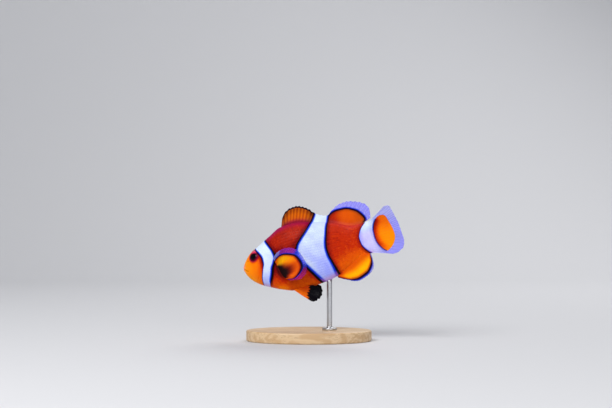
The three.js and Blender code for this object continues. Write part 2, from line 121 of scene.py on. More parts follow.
BACK = profile([
    (0, MOUTH_HEIGHT), (0.02, 0.03), (0.062, 0.075), (0.1, 0.104), (0.15, 0.127), (0.26, 0.184),
    (0.37, 0.234), (0.46, 0.241), (0.6, 0.217), (0.75, 0.178), (0.92, 0.119), (1.05, 0.124),
])
BELLY = profile([
    (0, MOUTH_HEIGHT), (0.012, -0.056), (0.05, -0.111), (0.11, -0.157), (0.17, -0.187), (0.26, -0.226),
    (0.36, -0.253), (0.47, -0.257), (0.6, -0.244), (0.7, -0.222), (0.82, -0.171), (0.92, -0.127),
    (0.98, -0.113), (1.05, -0.112),
])
HALF_WIDTH = profile([
    (0, 0), (0.012, 0.03), (0.04, 0.054), (0.08, 0.075), (0.12, 0.09), (0.2, 0.106), (0.32, 0.114),
    (0.42, 0.113), (0.5, 0.107), (0.6, 0.094), (0.7, 0.076), (0.8, 0.057), (0.9, 0.041), (1.0, 0.027),
    (1.05, 0.008),
])

# Stations of the white bands' edges over height, and half the width in mm of the black line along each.
HEAD_BAND_FRONT = curve([
    (-0.22, 0.126), (-0.151, 0.146), (-0.107, 0.158), (-0.043, 0.184), (0, 0.198), (0.035, 0.195),
    (0.079, 0.17), (0.117, 0.134), (0.15, 0.104),
])
HEAD_BAND_REAR = curve([
    (-0.21, 0.183), (-0.157, 0.211), (-0.121, 0.234), (-0.085, 0.251), (-0.045, 0.266), (-0.015, 0.285),
    (0.03, 0.302), (0.073, 0.292), (0.115, 0.269), (0.157, 0.238), (0.2, 0.193),
])
TRUNK_BAND_FRONT = curve([
    (-0.27, 0.6), (-0.225, 0.574), (-0.167, 0.542), (-0.11, 0.509), (-0.06, 0.481), (-0.02, 0.463),
    (0.025, 0.456), (0.07, 0.47), (0.11, 0.501), (0.16, 0.55), (0.21, 0.593), (0.265, 0.631), (0.36, 0.678),
])
TRUNK_BAND_REAR = curve([
    (-0.3, 0.745), (-0.226, 0.719), (-0.157, 0.708), (-0.1, 0.694), (-0.045, 0.681), (0, 0.678),
    (0.05, 0.685), (0.1, 0.698), (0.16, 0.713), (0.23, 0.74), (0.36, 0.79),
])
TAIL_BAND_FRONT = curve([
    (-0.14, 1.02), (-0.102, 0.99), (-0.073, 0.967), (-0.029, 0.946), (0.02, 0.942), (0.074, 0.962),
    (0.127, 1.008),
])
HEAD_FRONT_LINE_MM = curve([
    (-0.2, 0.06), (-0.17, 0.14), (-0.05, 0.14), (0.02, 0.28), (0.07, 0.36), (0.12, 0.18),
])
HEAD_REAR_LINE_MM = curve([
    (-0.18, 0.06), (-0.165, 0.1), (-0.145, 0.26), (-0.12, 0.44), (0.05, 0.38), (0.15, 0.36),
])
TRUNK_FRONT_LINE_MM = curve([(-0.22, 0.72), (-0.12, 0.6), (-0.03, 0.48), (0.1, 0.42), (0.25, 0.42)])
TRUNK_REAR_LINE_MM = curve([(-0.22, 0.82), (-0.12, 0.56), (0, 0.46), (0.15, 0.38), (0.25, 0.38)])
TAIL_LINE_MM = curve([(-0.1, 0.36), (-0.03, 0.22), (0.03, 0.12), (0.1, 0.12)])

# ---------------------------------------- pose

HEADING = curve([(0, 20), (0.3, 17), (0.55, 9), (0.8, 14), (1.0, 30), (1.2, 40), (1.35, 42)])
SPINE_STEP = 0.002


def integrated(values):
    """The running sum of values over the spine, from 0."""
    return np.concatenate([[0], np.cumsum(values)]) * SPINE_STEP


SPINE_STATION = np.arange(0, 1.5, SPINE_STEP)
SPINE_TURN = np.radians(HEADING((SPINE_STATION[1:] + SPINE_STATION[:-1]) / 2))
SPINE_X = integrated(np.cos(SPINE_TURN))
SPINE_Y = integrated(-np.sin(SPINE_TURN))


def posed(straight):
    """Straight places to metres about the snout: x and y follow the spine's curve, with y set off square
    to it, and the whole is turned nose down about the Y axis."""
    s, y, h = np.moveaxis(np.asarray(straight, float), -1, 0)
    turn = np.radians(HEADING(s))
    ahead = np.minimum(s, 0)
    x = np.interp(s, SPINE_STATION, SPINE_X) + ahead * np.cos(turn) + y * np.sin(turn)
    across = np.interp(s, SPINE_STATION, SPINE_Y) - ahead * np.sin(turn) + y * np.cos(turn)
    c, n = math.cos(NOSE_DOWN), math.sin(NOSE_DOWN)
    return np.stack([x * c - h * n, across, x * n + h * c], -1) * STANDARD_LENGTH


ROD_LOW, ROD_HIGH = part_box("stand_rod")
ROD_AXIS = (ROD_LOW + ROD_HIGH) / 2
VENT_PLACE = np.array([ROD_AXIS.x, ROD_AXIS.y, VENT_HEIGHT])
SNOUT_PLACE = VENT_PLACE - posed([VENT_STATION, 0, BELLY(VENT_STATION)])


def placed(straight):
    """Straight places to the stand's frame, in metres."""
    return posed(straight) + SNOUT_PLACE


# ---------------------------------------- the body's form


def skin_point(s, angle):
    """A place on the plain form: the angle starts on the left flank and goes up over the back. Across,
    it is the half-width by the cosine's power; up and down, the height above or below the widest place
    by the sine."""
    top, bottom = BACK(s), BELLY(s)
    middle = bottom + WIDEST_SHARE * (top - bottom)
    c, n = np.cos(angle), np.sin(angle)
    y = -HALF_WIDTH(s) * np.sign(c) * np.abs(c) ** FLANK_FULLNESS
    h = middle + np.where(n > 0, top - middle, middle - bottom) * n
    return np.stack(np.broadcast_arrays(s, y, h), -1)


def flank_angle(s, h):
    """The angle on the left flank at a height."""
    top, bottom = BACK(s), BELLY(s)
    middle = bottom + WIDEST_SHARE * (top - bottom)
    reach = np.where(h > middle, top - middle, middle - bottom)
    return np.arcsin(np.clip((h - middle) / reach, -1, 1))


def flank(s, h):
    """The half-width at a height."""
    return -skin_point(s, flank_angle(s, h))[..., 1]


def unit(v):
    """The vectors at length one."""
    return v / np.maximum(np.linalg.norm(v, axis=-1, keepdims=True), 1e-12)


def moved(place, direction, distance_mm):
    """Places moved by a distance along unit vectors."""
    return place + direction * (distance_mm / LENGTH_MM)[..., None]


def skin_normal(s, angle, small=1e-3):
    """Outward unit vector: the cross product of the differences along the body and round it."""
    along = skin_point(s + small, angle) - skin_point(s - small, angle)
    around = skin_point(s, angle + small) - skin_point(s, angle - small)
    return unit(np.cross(along, around))


def offset_mm(s, h, edge, small=0.004):
    """Distance behind an edge given as a station over height: the difference of stations over the square
    root of 1 plus the edge's slope squared."""
    slope = (edge(h + small) - edge(h - small)) / (2 * small)
    return (s - edge(h)) * LENGTH_MM / np.sqrt(1 + slope**2)


def path_distance_mm(s, h, path):
    """Distance to the nearest of a path's straight stretches, seen from the side."""
    best = np.full(np.shape(s), np.inf)
    for (s0, h0), (s1, h1) in zip(path, path[1:]):
        share = ((s - s0) * (s1 - s0) + (h - h0) * (h1 - h0)) / ((s1 - s0) ** 2 + (h1 - h0) ** 2)
        share = np.clip(share, 0, 1)
        best = np.minimum(best, np.hypot(s - s0 - share * (s1 - s0), h - h0 - share * (h1 - h0)))
    return best * LENGTH_MM


def rounded_path(knots, steps=6):
    """Points of a smooth open path through (station, height) knots: each runs as a curve over the knots'
    count."""
    count = np.arange(len(knots))
    fine = np.linspace(0, len(knots) - 1, (len(knots) - 1) * steps + 1)
    station, height = (curve(list(zip(count, values)))(fine) for values in zip(*knots))
    return list(zip(station, height))


def depth_mm(s, h, outline):
    """Distance inside a closed outline, below 0 outside it: the distance to its nearest side, with the
    sign from counting how many sides lie straight ahead."""
    sides = list(zip(outline, outline[1:] + outline[:1]))
    inside = np.zeros(np.shape(s), bool)
    for (s0, h0), (s1, h1) in sides:
        if h0 != h1:
            inside ^= ((h0 > h) != (h1 > h)) & (s < s0 + (h - h0) * (s1 - s0) / (h1 - h0))
    return np.where(inside, 1, -1) * path_distance_mm(s, h, outline + outline[:1])


EYE_ANGLE = flank_angle(EYE_STATION, EYE_HEIGHT)
EYE_POINT = skin_point(EYE_STATION, EYE_ANGLE)
EYE_AXIS = skin_normal(EYE_STATION, EYE_ANGLE)
NOSTRIL_POINT = skin_point(0.066, flank_angle(0.066, 0.04))
MOUTH_LINE = curve([(0, MOUTH_HEIGHT), (0.02, -0.018), (0.052, -0.037)])
LIP_FOLD = [(0.053, -0.034), (0.061, -0.048), (0.064, -0.066)]
CHEEK_FOLD = curve([
    (-0.13, 0.085), (-0.12, 0.108), (-0.09, 0.138), (-0.04, 0.157), (0.01, 0.168), (0.05, 0.163),
])
PECTORAL_ROOT = [(0, 0.302, -0.045), (0.5, 0.304, -0.094), (1, 0.326, -0.14)]
PELVIC_ROOT = [(0, 0.345, -0.236), (1, 0.392, -0.234)]
LATERAL_LINE_DROP = 0.075


def gill_edge(h):
    """The free edge of the gill cover, just behind the head band."""
    return HEAD_BAND_REAR(h) + 0.005


def gill_window(h):
    """1 over the heights where the gill cover is free, fading to 0 at its ends."""
    return smooth(h, -0.2, -0.165) * fade(h, 0.05, 0.09)


def from_root_mm(s, h, root):
    """Distance from the root of a paired fin."""
    return path_distance_mm(s, h, [knot[1:] for knot in root])


def from_point_mm(place, point):
    """Distance from a point of the left side, or its mirror point on the right."""
    mirrored = np.array(place, float)
    mirrored[..., 1] = -np.abs(mirrored[..., 1])
    return np.linalg.norm(mirrored - point, axis=-1) * LENGTH_MM


def relief_mm(place):
    """Height of the skin over the plain form: lips and mouth, nostril, orbit, cheek and gill folds, the
    pads of the paired fins and the lateral line, each a bell or a step of the distance from its line."""
    s, _, h = np.moveaxis(place, -1, 0)
    coat = -0.03 - 0.04 * smooth(s, 0.1, 0.2)

    off = (h - MOUTH_LINE(s)) * LENGTH_MM
    lips = 0.16 * bell(off, 0.6, 0.34) + 0.19 * bell(off, -0.6, 0.36) - 0.1 * bell(np.abs(off), 1.35, 0.3)
    mouth = (lips - 0.55 * bell(off, 0, 0.16)) * fade(s, 0.043, 0.056)
    lip_fold = -0.14 * bell(path_distance_mm(s, h, LIP_FOLD), 0, 0.24)

    from_eye = from_point_mm(place, EYE_POINT)
    orbit = 0.11 * bell(from_eye, 2.5, 0.28) - 1.0 * fade(from_eye, 1.9, 2.22)
    under_eye = -0.07 * bell(from_eye, 3.7, 0.35) * fade(h, EYE_HEIGHT - 0.03, EYE_HEIGHT)
    from_nostril = from_point_mm(place, NOSTRIL_POINT)
    nostril = 0.1 * bell(from_nostril, 0.42, 0.15) - 0.32 * bell(from_nostril, 0, 0.22)

    behind_cheek = offset_mm(s, h, CHEEK_FOLD)
    cheek_window = smooth(h, -0.135, -0.11) * fade(h, 0.02, 0.05)
    cheek = (0.1 * bell(behind_cheek, -0.5, 0.55) - 0.17 * bell(behind_cheek, 0.08, 0.22)) * cheek_window

    behind_gill = offset_mm(s, h, gill_edge)
    lifted = 0.26 * bell(np.minimum(behind_gill, 0), 0, 2.2)
    dropped = -0.32 * bell(np.maximum(behind_gill, 0), 0, 0.75)
    step = smooth(behind_gill, -0.13, 0.13)
    gill = (lifted * (1 - step) + dropped * step) * gill_window(h)

    pectoral = 0.38 * bell(from_root_mm(s, h, PECTORAL_ROOT), 0, 0.95)
    pelvic = 0.22 * bell(from_root_mm(s, h, PELVIC_ROOT), 0, 1.2)
    from_line = (h - BACK(s) + LATERAL_LINE_DROP) * LENGTH_MM
    beads = 0.6 + 0.4 * np.cos(2 * math.pi * s / SCALE_PITCH)
    lateral = 0.05 * bell(from_line, 0, 0.2) * beads * smooth(s, 0.27, 0.3) * fade(s, 0.7, 0.75)
    return coat + mouth + lip_fold + orbit + under_eye + nostril + cheek + gill + pectoral + pelvic + lateral


# ---------------------------------------- markings, painted light and painted shade
# "across" is the distance in mm from the middle of the nearest black line, above 0 on its orange side, and
# "line" is half that line's width. "tone" runs from amber, 0, through orange to deep red, 1. "cool" turns
# white to lilac; on the flesh it is painted shade, strongest at the belly. "plum" and "blush" lay those
# colours over the rest, and in part they are painted light: violet rim light along the back and the spiny
# dorsal fin's base, a pink highlight above the eye and a highlight along the soft dorsal fin's base.
# "shade" darkens: it is painted shade in folds, slits and the eye's socket, at the scales' free edges,
# round the pectoral fin's root, under that fin and in its cup, and in the pelvic fin's crease; it also
# darkens the flank low beside the trunk band's rear line and the fins' own darker parts.

FLANK_TONE = curve([
    (0, 0.17), (0.08, 0.27), (0.12, 0.37), (0.16, 0.39), (0.22, 0.75), (0.3, 0.87), (0.45, 0.85),
    (0.6, 0.84), (0.7, 0.8), (0.85, 0.76), (0.95, 0.74),
])
BANDS = [
    (HEAD_BAND_FRONT, HEAD_FRONT_LINE_MM, HEAD_BAND_REAR, HEAD_REAR_LINE_MM),
    (TRUNK_BAND_FRONT, TRUNK_FRONT_LINE_MM, TRUNK_BAND_REAR, TRUNK_REAR_LINE_MM),
    (TAIL_BAND_FRONT, TAIL_LINE_MM, lambda h: 1.4 + 0 * h, TAIL_LINE_MM),
]


def nearest(first, second):
    """Of two (across, line) pairs, at each point the one further to the white side."""
    pick = first[0] < second[0]
    return np.where(pick, first[0], second[0]), np.where(pick, first[1], second[1])


def band_lines(s, h, bands=BANDS):
    """Minus the depth inside the nearest white band, and the line along that edge."""
    found = np.full(np.shape(s), np.inf), np.ones(np.shape(s))
    for front, front_line, rear, rear_line in bands:
        ahead, behind = offset_mm(s, h, front), -offset_mm(s, h, rear)
        line = np.where(ahead < behind, front_line(h), rear_line(h))
        found = nearest((-np.minimum(ahead, behind), line), found)
    return found


def depth_share(s, h):
    """0 at the belly and 1 at the back."""
    return (h - BELLY(s)) / (BACK(s) - BELLY(s))


def flesh_lilac_shade(s, h):
    """Painted lilac shade on the white: 1 at the belly, falling towards the back, less beside the trunk
    band's front edge and more even on the tail stalk."""
    up = depth_share(s, h)
    least = 0.3 * smooth(s, 0.3, 0.45)
    fair = least + (1 - least) * fade(up, 0.05, 0.75) * (0.7 + 0.3 * smooth(s, 0.25, 0.35))
    fair = fair - 0.55 * bell(offset_mm(s, h, TRUNK_BAND_FRONT), 2.0, 1.5) * bell(up, 0.36, 0.18)
    stalk = (0.55 + 0.4 * fade(s, 0.955, 0.985)) * (1 - 0.9 * smooth(up, 0.7, 0.9))
    return fair + (stalk - fair) * smooth(s, 0.85, 0.93)


def flesh_tone(s, h):
    """The tone along the flank, lightened towards the belly, with painted light on the underside, and
    darkened in front of the head's white band and over the pectoral fin, with painted shade round its root."""
    up = depth_share(s, h)
    trunk = smooth(s, 0.2, 0.28)
    # Painted light: the underside, which faces down, is lightened.
    underside = fade(up, 0.02, 0.16) * (1 - 0.8 * smooth(s, 0.3, 0.36)) * fade(s, 0.6, 0.65)
    lighter = (0.27 * fade(up, 0.05, 0.5) + 0.3 * underside) * trunk
    beside = bell(offset_mm(s, h, HEAD_BAND_FRONT), 0, 1.8) * (0.12 + 0.36 * smooth(h, -0.1, 0.02))
    chin = 0.08 * fade(up, 0.1, 0.3) * (1 - trunk)
    over_fin = 0.08 * bell(up, 0.66, 0.08) * smooth(s, 0.28, 0.33) * fade(s, 0.46, 0.52)
    # Painted shade round the pectoral fin's root.
    round_root = 0.2 * bell(from_root_mm(s, h, PECTORAL_ROOT), 0, 2.4)
    return FLANK_TONE(s) - lighter - chin + beside * (1 - trunk) + over_fin + round_root


def flesh_marks(place):
    """The markings of skin and scales alike, painted light and painted shade among them."""
    s, _, h = np.moveaxis(place, -1, 0)
    off = (h - MOUTH_LINE(s)) * LENGTH_MM
    # Painted shade in the mouth slit, the gill slit and the nostril.
    slit = 0.7 * bell(off, 0, 0.17) * fade(s, 0.045, 0.055)
    behind_gill = offset_mm(s, h, gill_edge)
    gill = 0.85 * bell(np.maximum(behind_gill, 0), 0.1, 0.5) * smooth(behind_gill, -0.1, 0.05)
    gill = gill * gill_window(h)
    nostril = 0.85 * bell(from_point_mm(place, NOSTRIL_POINT), 0, 0.25)
    from_eye = from_point_mm(place, EYE_POINT)
    # Painted shade in the eye's socket, but not above the eye.
    socket = 0.9 * fade(from_eye, 2.15, 2.5) * (1 - 0.9 * smooth(h, EYE_HEIGHT, EYE_HEIGHT + 0.025))
    across, line = band_lines(s, h)
    up = depth_share(s, h)
    # Painted shade at the pectoral fin's root, and a painted shadow under that fin on the orange.
    axil_shade = 0.75 * bell(from_root_mm(s, h, PECTORAL_ROOT), 0, 0.9) * smooth(h, -0.16, -0.12)
    under_fin_shadow = 0.2 * smooth(s, 0.3, 0.36) * fade(s, 0.56, 0.6) * fade(up, 0.15, 0.3)
    low_line = 0.45 * bell(np.maximum(across - line, 0), 0, 0.9) * fade(up, 0.15, 0.4) * smooth(s, 0.6, 0.68)
    shade = np.clip(slit + gill + nostril + socket + axil_shade + (under_fin_shadow + low_line) * (across > 0), 0, 1)
    near_line = 0.2 * bell(across - line, 0, 1.2) * smooth(s, 0.2, 0.3)
    round_eye = 0.5 * bell(np.maximum(from_eye - 2.3, 0), 0, 0.8)
    from_back = (BACK(s) - h) * LENGTH_MM
    # Painted violet rim light along the back.
    ridge = 0.8 * bell(from_back, 0, 1.6) * smooth(s, 0.16, 0.25) * (1 - 0.4 * smooth(s, 0.36, 0.42))
    ridge = ridge * fade(s, 0.55, 0.72)
    ring = 0.45 * bell(from_eye, 2.3, 0.4)
    # Painted pink highlight above the eye.
    brow_highlight = 0.75 * bell(from_eye, 2.5, 0.75) * smooth(h, EYE_HEIGHT + 0.02, EYE_HEIGHT + 0.04)
    brow_highlight = brow_highlight * smooth(across - line, -0.1, 0.3)
    lips = 0.9 * bell(s, 0, 0.02) * bell(h, 0.012, 0.028)
    # Painted highlight along the soft dorsal fin's base.
    dorsal_base_highlight = 0.05 * bell(from_back, 0.4, 0.9) * smooth(s, 0.68, 0.76)
    pinker = 0.3 * fade((h - BELLY(s)) * LENGTH_MM, 0.5, 3.0)
    stalk = 0.14 * smooth(s, 0.92, 0.97) * fade(up, 0.6, 0.85)
    vent = np.maximum(pinker, stalk) * smooth(-across, 0, 0.6)
    return {"across": across, "line": line, "tone": flesh_tone(s, h) + near_line + round_eye, "shade": shade,
            "cool": flesh_lilac_shade(s, h), "plum": np.clip(ridge + ring, 0, 1),
            "blush": brow_highlight + lips + dorsal_base_highlight + vent}


# ---------------------------------------- meshes


def in_scene(name, data):
    """A new object, linked to the scene."""
    thing = bpy.data.objects.new(name, data)
    bpy.context.scene.collection.objects.link(thing)
    return thing


def mesh_piece(name, points, faces, material, slot, replaced=(), marks=None, corner_uvs=None):
    """Makes one closed piece from points in metres and arrays of quads and triangles, smooth shaded, and
    lets it ride on the fish's one body. Marks are attributes, one number for each point."""
    mesh = bpy.data.meshes.new(name)
    sizes = np.concatenate([np.full(len(f), f.shape[1]) for f in faces])
    corners = np.concatenate([f.ravel() for f in faces]).astype(np.int32)
    mesh.vertices.add(len(points))
    mesh.vertices.foreach_set("co", np.ascontiguousarray(points, np.float32).ravel())
    mesh.loops.add(len(corners))
    mesh.loops.foreach_set("vertex_index", corners)
    mesh.polygons.add(len(sizes))
    mesh.polygons.foreach_set("loop_start", np.concatenate([[0], np.cumsum(sizes)[:-1]]).astype(np.int32))
    mesh.polygons.foreach_set("use_smooth", np.ones(len(sizes), bool))
    mesh.update(calc_edges=True)
    for key, values in (marks or {}).items():
        attribute = mesh.attributes.new(key, "FLOAT", "POINT")
        attribute.data.foreach_set("value", np.ascontiguousarray(values, np.float32).ravel())
    if corner_uvs is not None:
        uv = mesh.uv_layers.new(name="OFBake")
        uv.data.foreach_set("uv", np.ascontiguousarray(corner_uvs, np.float32).ravel())
    mesh.materials.append(material)
    piece = in_scene(name, mesh)
    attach(piece, "root")
    if replaced:
        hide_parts(*replaced)
    return piece


def grid_quads(grid):
    """Quads between the neighbours in a grid of point numbers."""
    return np.stack([grid[:-1, :-1], grid[1:, :-1], grid[1:, 1:], grid[:-1, 1:]], -1).reshape(-1, 4)


def tube_faces(rings, around):
    """Quads between rings that close on themselves, and fans to a first and a last pole, which follow
    the rings' points. Also each corner's place on the unwrapped tube: round it, then along it."""
    grid = np.arange(rings * around).reshape(rings, around)
    quads = grid_quads(np.hstack([grid, grid[:, :1]]))
    open_grid = np.arange(rings * (around + 1)).reshape(rings, around + 1)
    unwrapped = np.stack(np.meshgrid(np.arange(around + 1), np.arange(rings) + 1), -1).reshape(-1, 2)
    j = np.arange(around)
    k = (j + 1) % around
    pole, last_ring = np.full(around, grid.size), (rings - 1) * around
    first, last = np.stack([pole, j, k], -1), np.stack([pole + 1, last_ring + k, last_ring + j], -1)

    def corners(*pairs):
        return np.stack([np.stack([turn, height + 0 * j], -1) for turn, height in pairs], -2).reshape(-1, 2)

    uv = np.concatenate([
        unwrapped[grid_quads(open_grid)].reshape(-1, 2),
        corners((j + 0.5, 0), (j, 1), (j + 1, 1)),
        corners((j + 0.5, rings + 1), (j + 1, rings), (j, rings)),
    ])
    return [quads, np.concatenate([first, last])], uv / [around, rings + 1]


def tube_piece(name, rings, first_pole, last_pole, marks=None, **options):
    """A closed piece through rings of points, with a pole at each end. Marks come for the rings alone: a
    pole takes the mean of the ring beside it."""
    points = np.concatenate([rings.reshape(-1, 3), [first_pole, last_pole]])
    faces, uv = tube_faces(*rings.shape[:2])
    full = {
        key: np.concatenate([values.ravel(), [values[0].mean(), values[-1].mean()]])
        for key, values in (marks or {}).items()
    }
    return mesh_piece(name, points, faces, marks=full, corner_uvs=uv, **options)


def layer_faces(rows, columns):
    """Quads of a front and a back layer of one grid, and of the rim that joins them all round."""
    grid = np.arange(rows * columns).reshape(rows, columns)
    front = grid_quads(grid)
    rim = np.concatenate([grid[:-1, 0], grid[-1, :-1], grid[:0:-1, -1], grid[0, :0:-1]])
    ahead = np.roll(rim, -1)
    sides = np.stack([rim + grid.size, ahead + grid.size, ahead, rim], -1)
    return [np.concatenate([front, front[:, ::-1] + grid.size, sides])]


# ---------------------------------------- materials


def operation(kind, swapped=False):
    """A method that adds one Math node for a number and, where there is one, another."""

    def act(self, *others):
        values = (*others, self) if swapped else (self, *others)
        return self.paint.add("ShaderNodeMath", dict(operation=kind), dict(enumerate(values)))

    return act


class Number:
    """A socket that carries a number. Arithmetic with sockets or plain numbers adds Math nodes to its
    material."""

    def __init__(self, paint, socket):
        self.paint, self.socket = paint, socket

    __add__, __radd__ = operation("ADD"), operation("ADD", swapped=True)
    __sub__, __rsub__ = operation("SUBTRACT"), operation("SUBTRACT", swapped=True)
    __mul__, __rmul__ = operation("MULTIPLY"), operation("MULTIPLY", swapped=True)
    __truediv__, __abs__ = operation("DIVIDE"), operation("ABSOLUTE")
    smaller, sine = operation("MINIMUM"), operation("SINE")

    def step(self, low, high):
        """0 at low and 1 at high, smoothly."""
        return self.paint.add(
            "ShaderNodeMapRange", dict(interpolation_type="SMOOTHSTEP"),
            {0: self, 1: low, 2: high, 3: 0.0, 4: 1.0},
        )


class Paint:
    """A node material. add() makes any node: its settings first, then the values or links of its sockets."""

    def __init__(self, name, **shader):
        self.material = bpy.data.materials.new(name)
        self.material.use_nodes = True
        self.tree = self.material.node_tree
        self.shader = self.tree.nodes["Principled BSDF"]
        for key, value in shader.items():
            self.shader.inputs[key.replace("_", " ")].default_value = value

    def add(self, kind, settings=None, sockets=None, output=0):
        node = self.tree.nodes.new(kind)
        for key, value in (settings or {}).items():
            setattr(node, key, value)
        for key, value in (sockets or {}).items():
            self.link(value, node.inputs[key])
        return Number(self, node.outputs[output])

    def ramp(self, stops, place):
        """The colour at a place, 0 to 1, among the stops."""
        found = self.add("ShaderNodeValToRGB", sockets={0: place})
        elements = found.socket.node.color_ramp.elements
        while len(elements) < len(stops):
            elements.new(1)
        for element, (at, *parts) in zip(elements, stops):
            element.position, element.color = at, (*srgb(*parts), 1)
        return found

    def link(self, value, socket):
        if isinstance(value, Number):
            self.tree.links.new(value.socket, socket)
        elif socket.type == "RGBA" and len(value) == 3:
            socket.default_value = (*value, 1)
        else:
            socket.default_value = value

    def mark(self, name):
        return self.add("ShaderNodeAttribute", dict(attribute_name=name), output=2)

    def mix(self, share, first, second):
        return self.add(
            "ShaderNodeMix", dict(data_type="RGBA"), {0: share, 6: first, 7: second}, output=2
        )

    def noise(self, scale, detail=2.0, stretch=(1, 1, 1)):
        """Noise over the piece's own place in metres, its cells drawn out along an axis by a small
        stretch."""
        place = self.add("ShaderNodeTexCoord", output=3)
        place = self.add("ShaderNodeMapping", sockets={"Vector": place, "Scale": stretch})
        return self.add("ShaderNodeTexNoise", sockets={"Vector": place, "Scale": scale, "Detail": detail})

    def bump(self, height, strength, distance):
        return self.add(
            "ShaderNodeBump", sockets={"Height": height, "Strength": strength, "Distance": distance}
        )

    def finish(self, **sockets):
        for key, value in sockets.items():
            self.link(value, self.shader.inputs[key.replace("_", " ")])
        return self.material


def srgb(*parts):
    """A colour given in 0 to 255 display parts, as linear light."""
    return tuple(((p / 255 + 0.055) / 1.055) ** 2.4 if p > 10 else p / 255 / 12.92 for p in parts)


# Stops of a ramp: the place, then the colour in display parts.
TONES = [(0.0, 255, 184, 0), (0.25, 254, 138, 0), (0.5, 232, 90, 0), (0.75, 190, 40, 0), (1.0, 126, 4, 4)]
WHITE = srgb(214, 230, 252)
# LILAC is mixed in by "cool"; on the flesh it is painted shade, deepest at the belly.
LILAC = srgb(156, 166, 252)
PLUM = srgb(150, 4, 92)
BLUSH = srgb(246, 140, 170)
PALE_BLUE = srgb(84, 132, 255)
DEEP_BLUE = srgb(0, 40, 196)
BLACK = srgb(4, 2, 10)
VIOLET_BLACK = srgb(20, 3, 36)
DARK_RED = srgb(24, 2, 5)
MARGINS = [
    (0.0, 172, 20, 96), (0.25, 150, 50, 190), (0.5, 30, 70, 235), (0.7, 142, 138, 247),
    (1.0, 204, 208, 254),
]


def banded_colour(paint, cool, black):
    """Orange of the tone, a black line and cool white, by the distance across the line. The white turns
    pale and then deep blue where it meets the line, over about the line's width."""
    across, line = paint.mark("across"), paint.mark("line")
    cloud = paint.noise(260.0, 3.0)
    orange = paint.ramp(TONES, paint.mark("tone") + (cloud - 0.5) * 0.1)
    white = paint.mix(cool + (cloud - 0.5) * 0.9, WHITE, LILAC)
    # plum: violet, in part painted rim light along the back and the spiny dorsal fin's base.
    orange = paint.mix(paint.mark("plum"), orange, PLUM)
    edge = (across + line) / (line * 2.2)
    white = paint.mix(edge.step(-1.0, -0.45) * 0.7, white, PALE_BLUE)
    white = paint.mix(edge.step(-0.65, -0.15), white, DEEP_BLUE)
    colour = paint.mix(across.step(-0.02, 0.02), white, orange)
    return paint.mix((abs(across - line * 0.2) - line * 0.8).step(0.08, -0.06), colour, black)


def flesh_paint(name, roughness):
    """Moist skin: the banded colour under its blush, in part a painted highlight, darkened by painted shade
    in folds, with fine pores in the gloss and the surface.
    """
    paint = Paint(name, Coat_Roughness=0.14, Specular_IOR_Level=0.05)
    colour = paint.mix(paint.mark("blush"), banded_colour(paint, paint.mark("cool"), BLACK), BLUSH)
    colour = paint.mix(paint.mark("shade"), colour, DARK_RED)
    pores = paint.noise(5200.0, 2.0)
    uneven = paint.noise(900.0, 3.0)
    return paint.finish(
        Base_Color=colour,
        Roughness=roughness + (pores - 0.5) * 0.2,
        Coat_Weight=0.025 + (pores - 0.5) * 0.02,
        Normal=paint.bump(pores * 0.3 + uneven, 0.3, 0.12 * MM),
    )


def fin_paint(name):
    """Rayed membrane: the banded colour, and a margin that lets light through where the mark "clear" is
    high. Its colour runs from violet through lilac to pale with the mark "pale"."""
    paint = Paint(name, Coat_Roughness=0.15, Specular_IOR_Level=0.05)
    ray, clear = paint.mark("ray"), paint.mark("clear")
    colour = banded_colour(paint, paint.mark("cool"), VIOLET_BLACK)
    margin = paint.ramp(MARGINS, paint.mark("pale") + ray * 0.1)
    colour = paint.mix(paint.mark("blush"), colour, BLUSH)
    colour = paint.mix((clear * 2).smaller(1.0), colour, margin)
    # shade: the fins' darker colour, and painted shade in the pectoral fin's cup and the pelvic fin's crease.
    colour = paint.mix(paint.mark("shade"), colour, DARK_RED)
    colour = paint.mix(paint.mark("ink"), colour, BLACK)
    fibres = paint.noise(4200.0, 2.0)
    return paint.finish(
        Base_Color=colour,
        Roughness=0.42 + (fibres - 0.5) * 0.2,
        Coat_Weight=0.02 + ray * 0.03,
        Alpha=1 - clear * (0.7 - ray * 0.25),
        Normal=paint.bump(fibres, 0.2, 0.03 * MM),
    )


SKIN_PAINT = flesh_paint("moist_skin", 0.4)
SCALE_PAINT = flesh_paint("small_scales", 0.46)
FIN_PAINT = fin_paint("rayed_fin")

# ---------------------------------------- skin

SKIN_RINGS, SKIN_AROUND = 330, 270
RING_SHARE, RING_STATION = [0, 0.06, 0.5, 1], [0.0004, 0.02, 0.32, STALK_END]
SCALE_PITCH = 0.0155


def make_skin():
    """One skin over head, trunk and tail stalk: rings of the plain form, starting at the belly, moved
    out along their normals by the relief. The rings lie closest on the snout and head."""
    share = np.linspace(0, 1, SKIN_RINGS)
    station = np.interp(share, RING_SHARE, RING_STATION)
    angle = np.linspace(-math.pi / 2, 1.5 * math.pi, SKIN_AROUND, endpoint=False)
    plain = skin_point(station[:, None], angle[None, :])
    along = np.gradient(plain, axis=0)
    around = np.roll(plain, -1, axis=1) - np.roll(plain, 1, axis=1)
    place = moved(plain, unit(np.cross(along, around)), relief_mm(plain))
    tip, end = place[0].mean(axis=0), place[-1].mean(axis=0)
    return tube_piece(
        "skin", placed(place), placed(tip), placed(end), marks=flesh_marks(plain), material=SKIN_PAINT,
        slot="skin_orange",
        replaced=[
            "head", "lower_jaw", "head_band", "gill_cover_left", "gill_cover_right", "shoulder", "trunk_band",
            "loin", "tail_stalk",
        ],
    )


make_skin()

# ---------------------------------------- scales

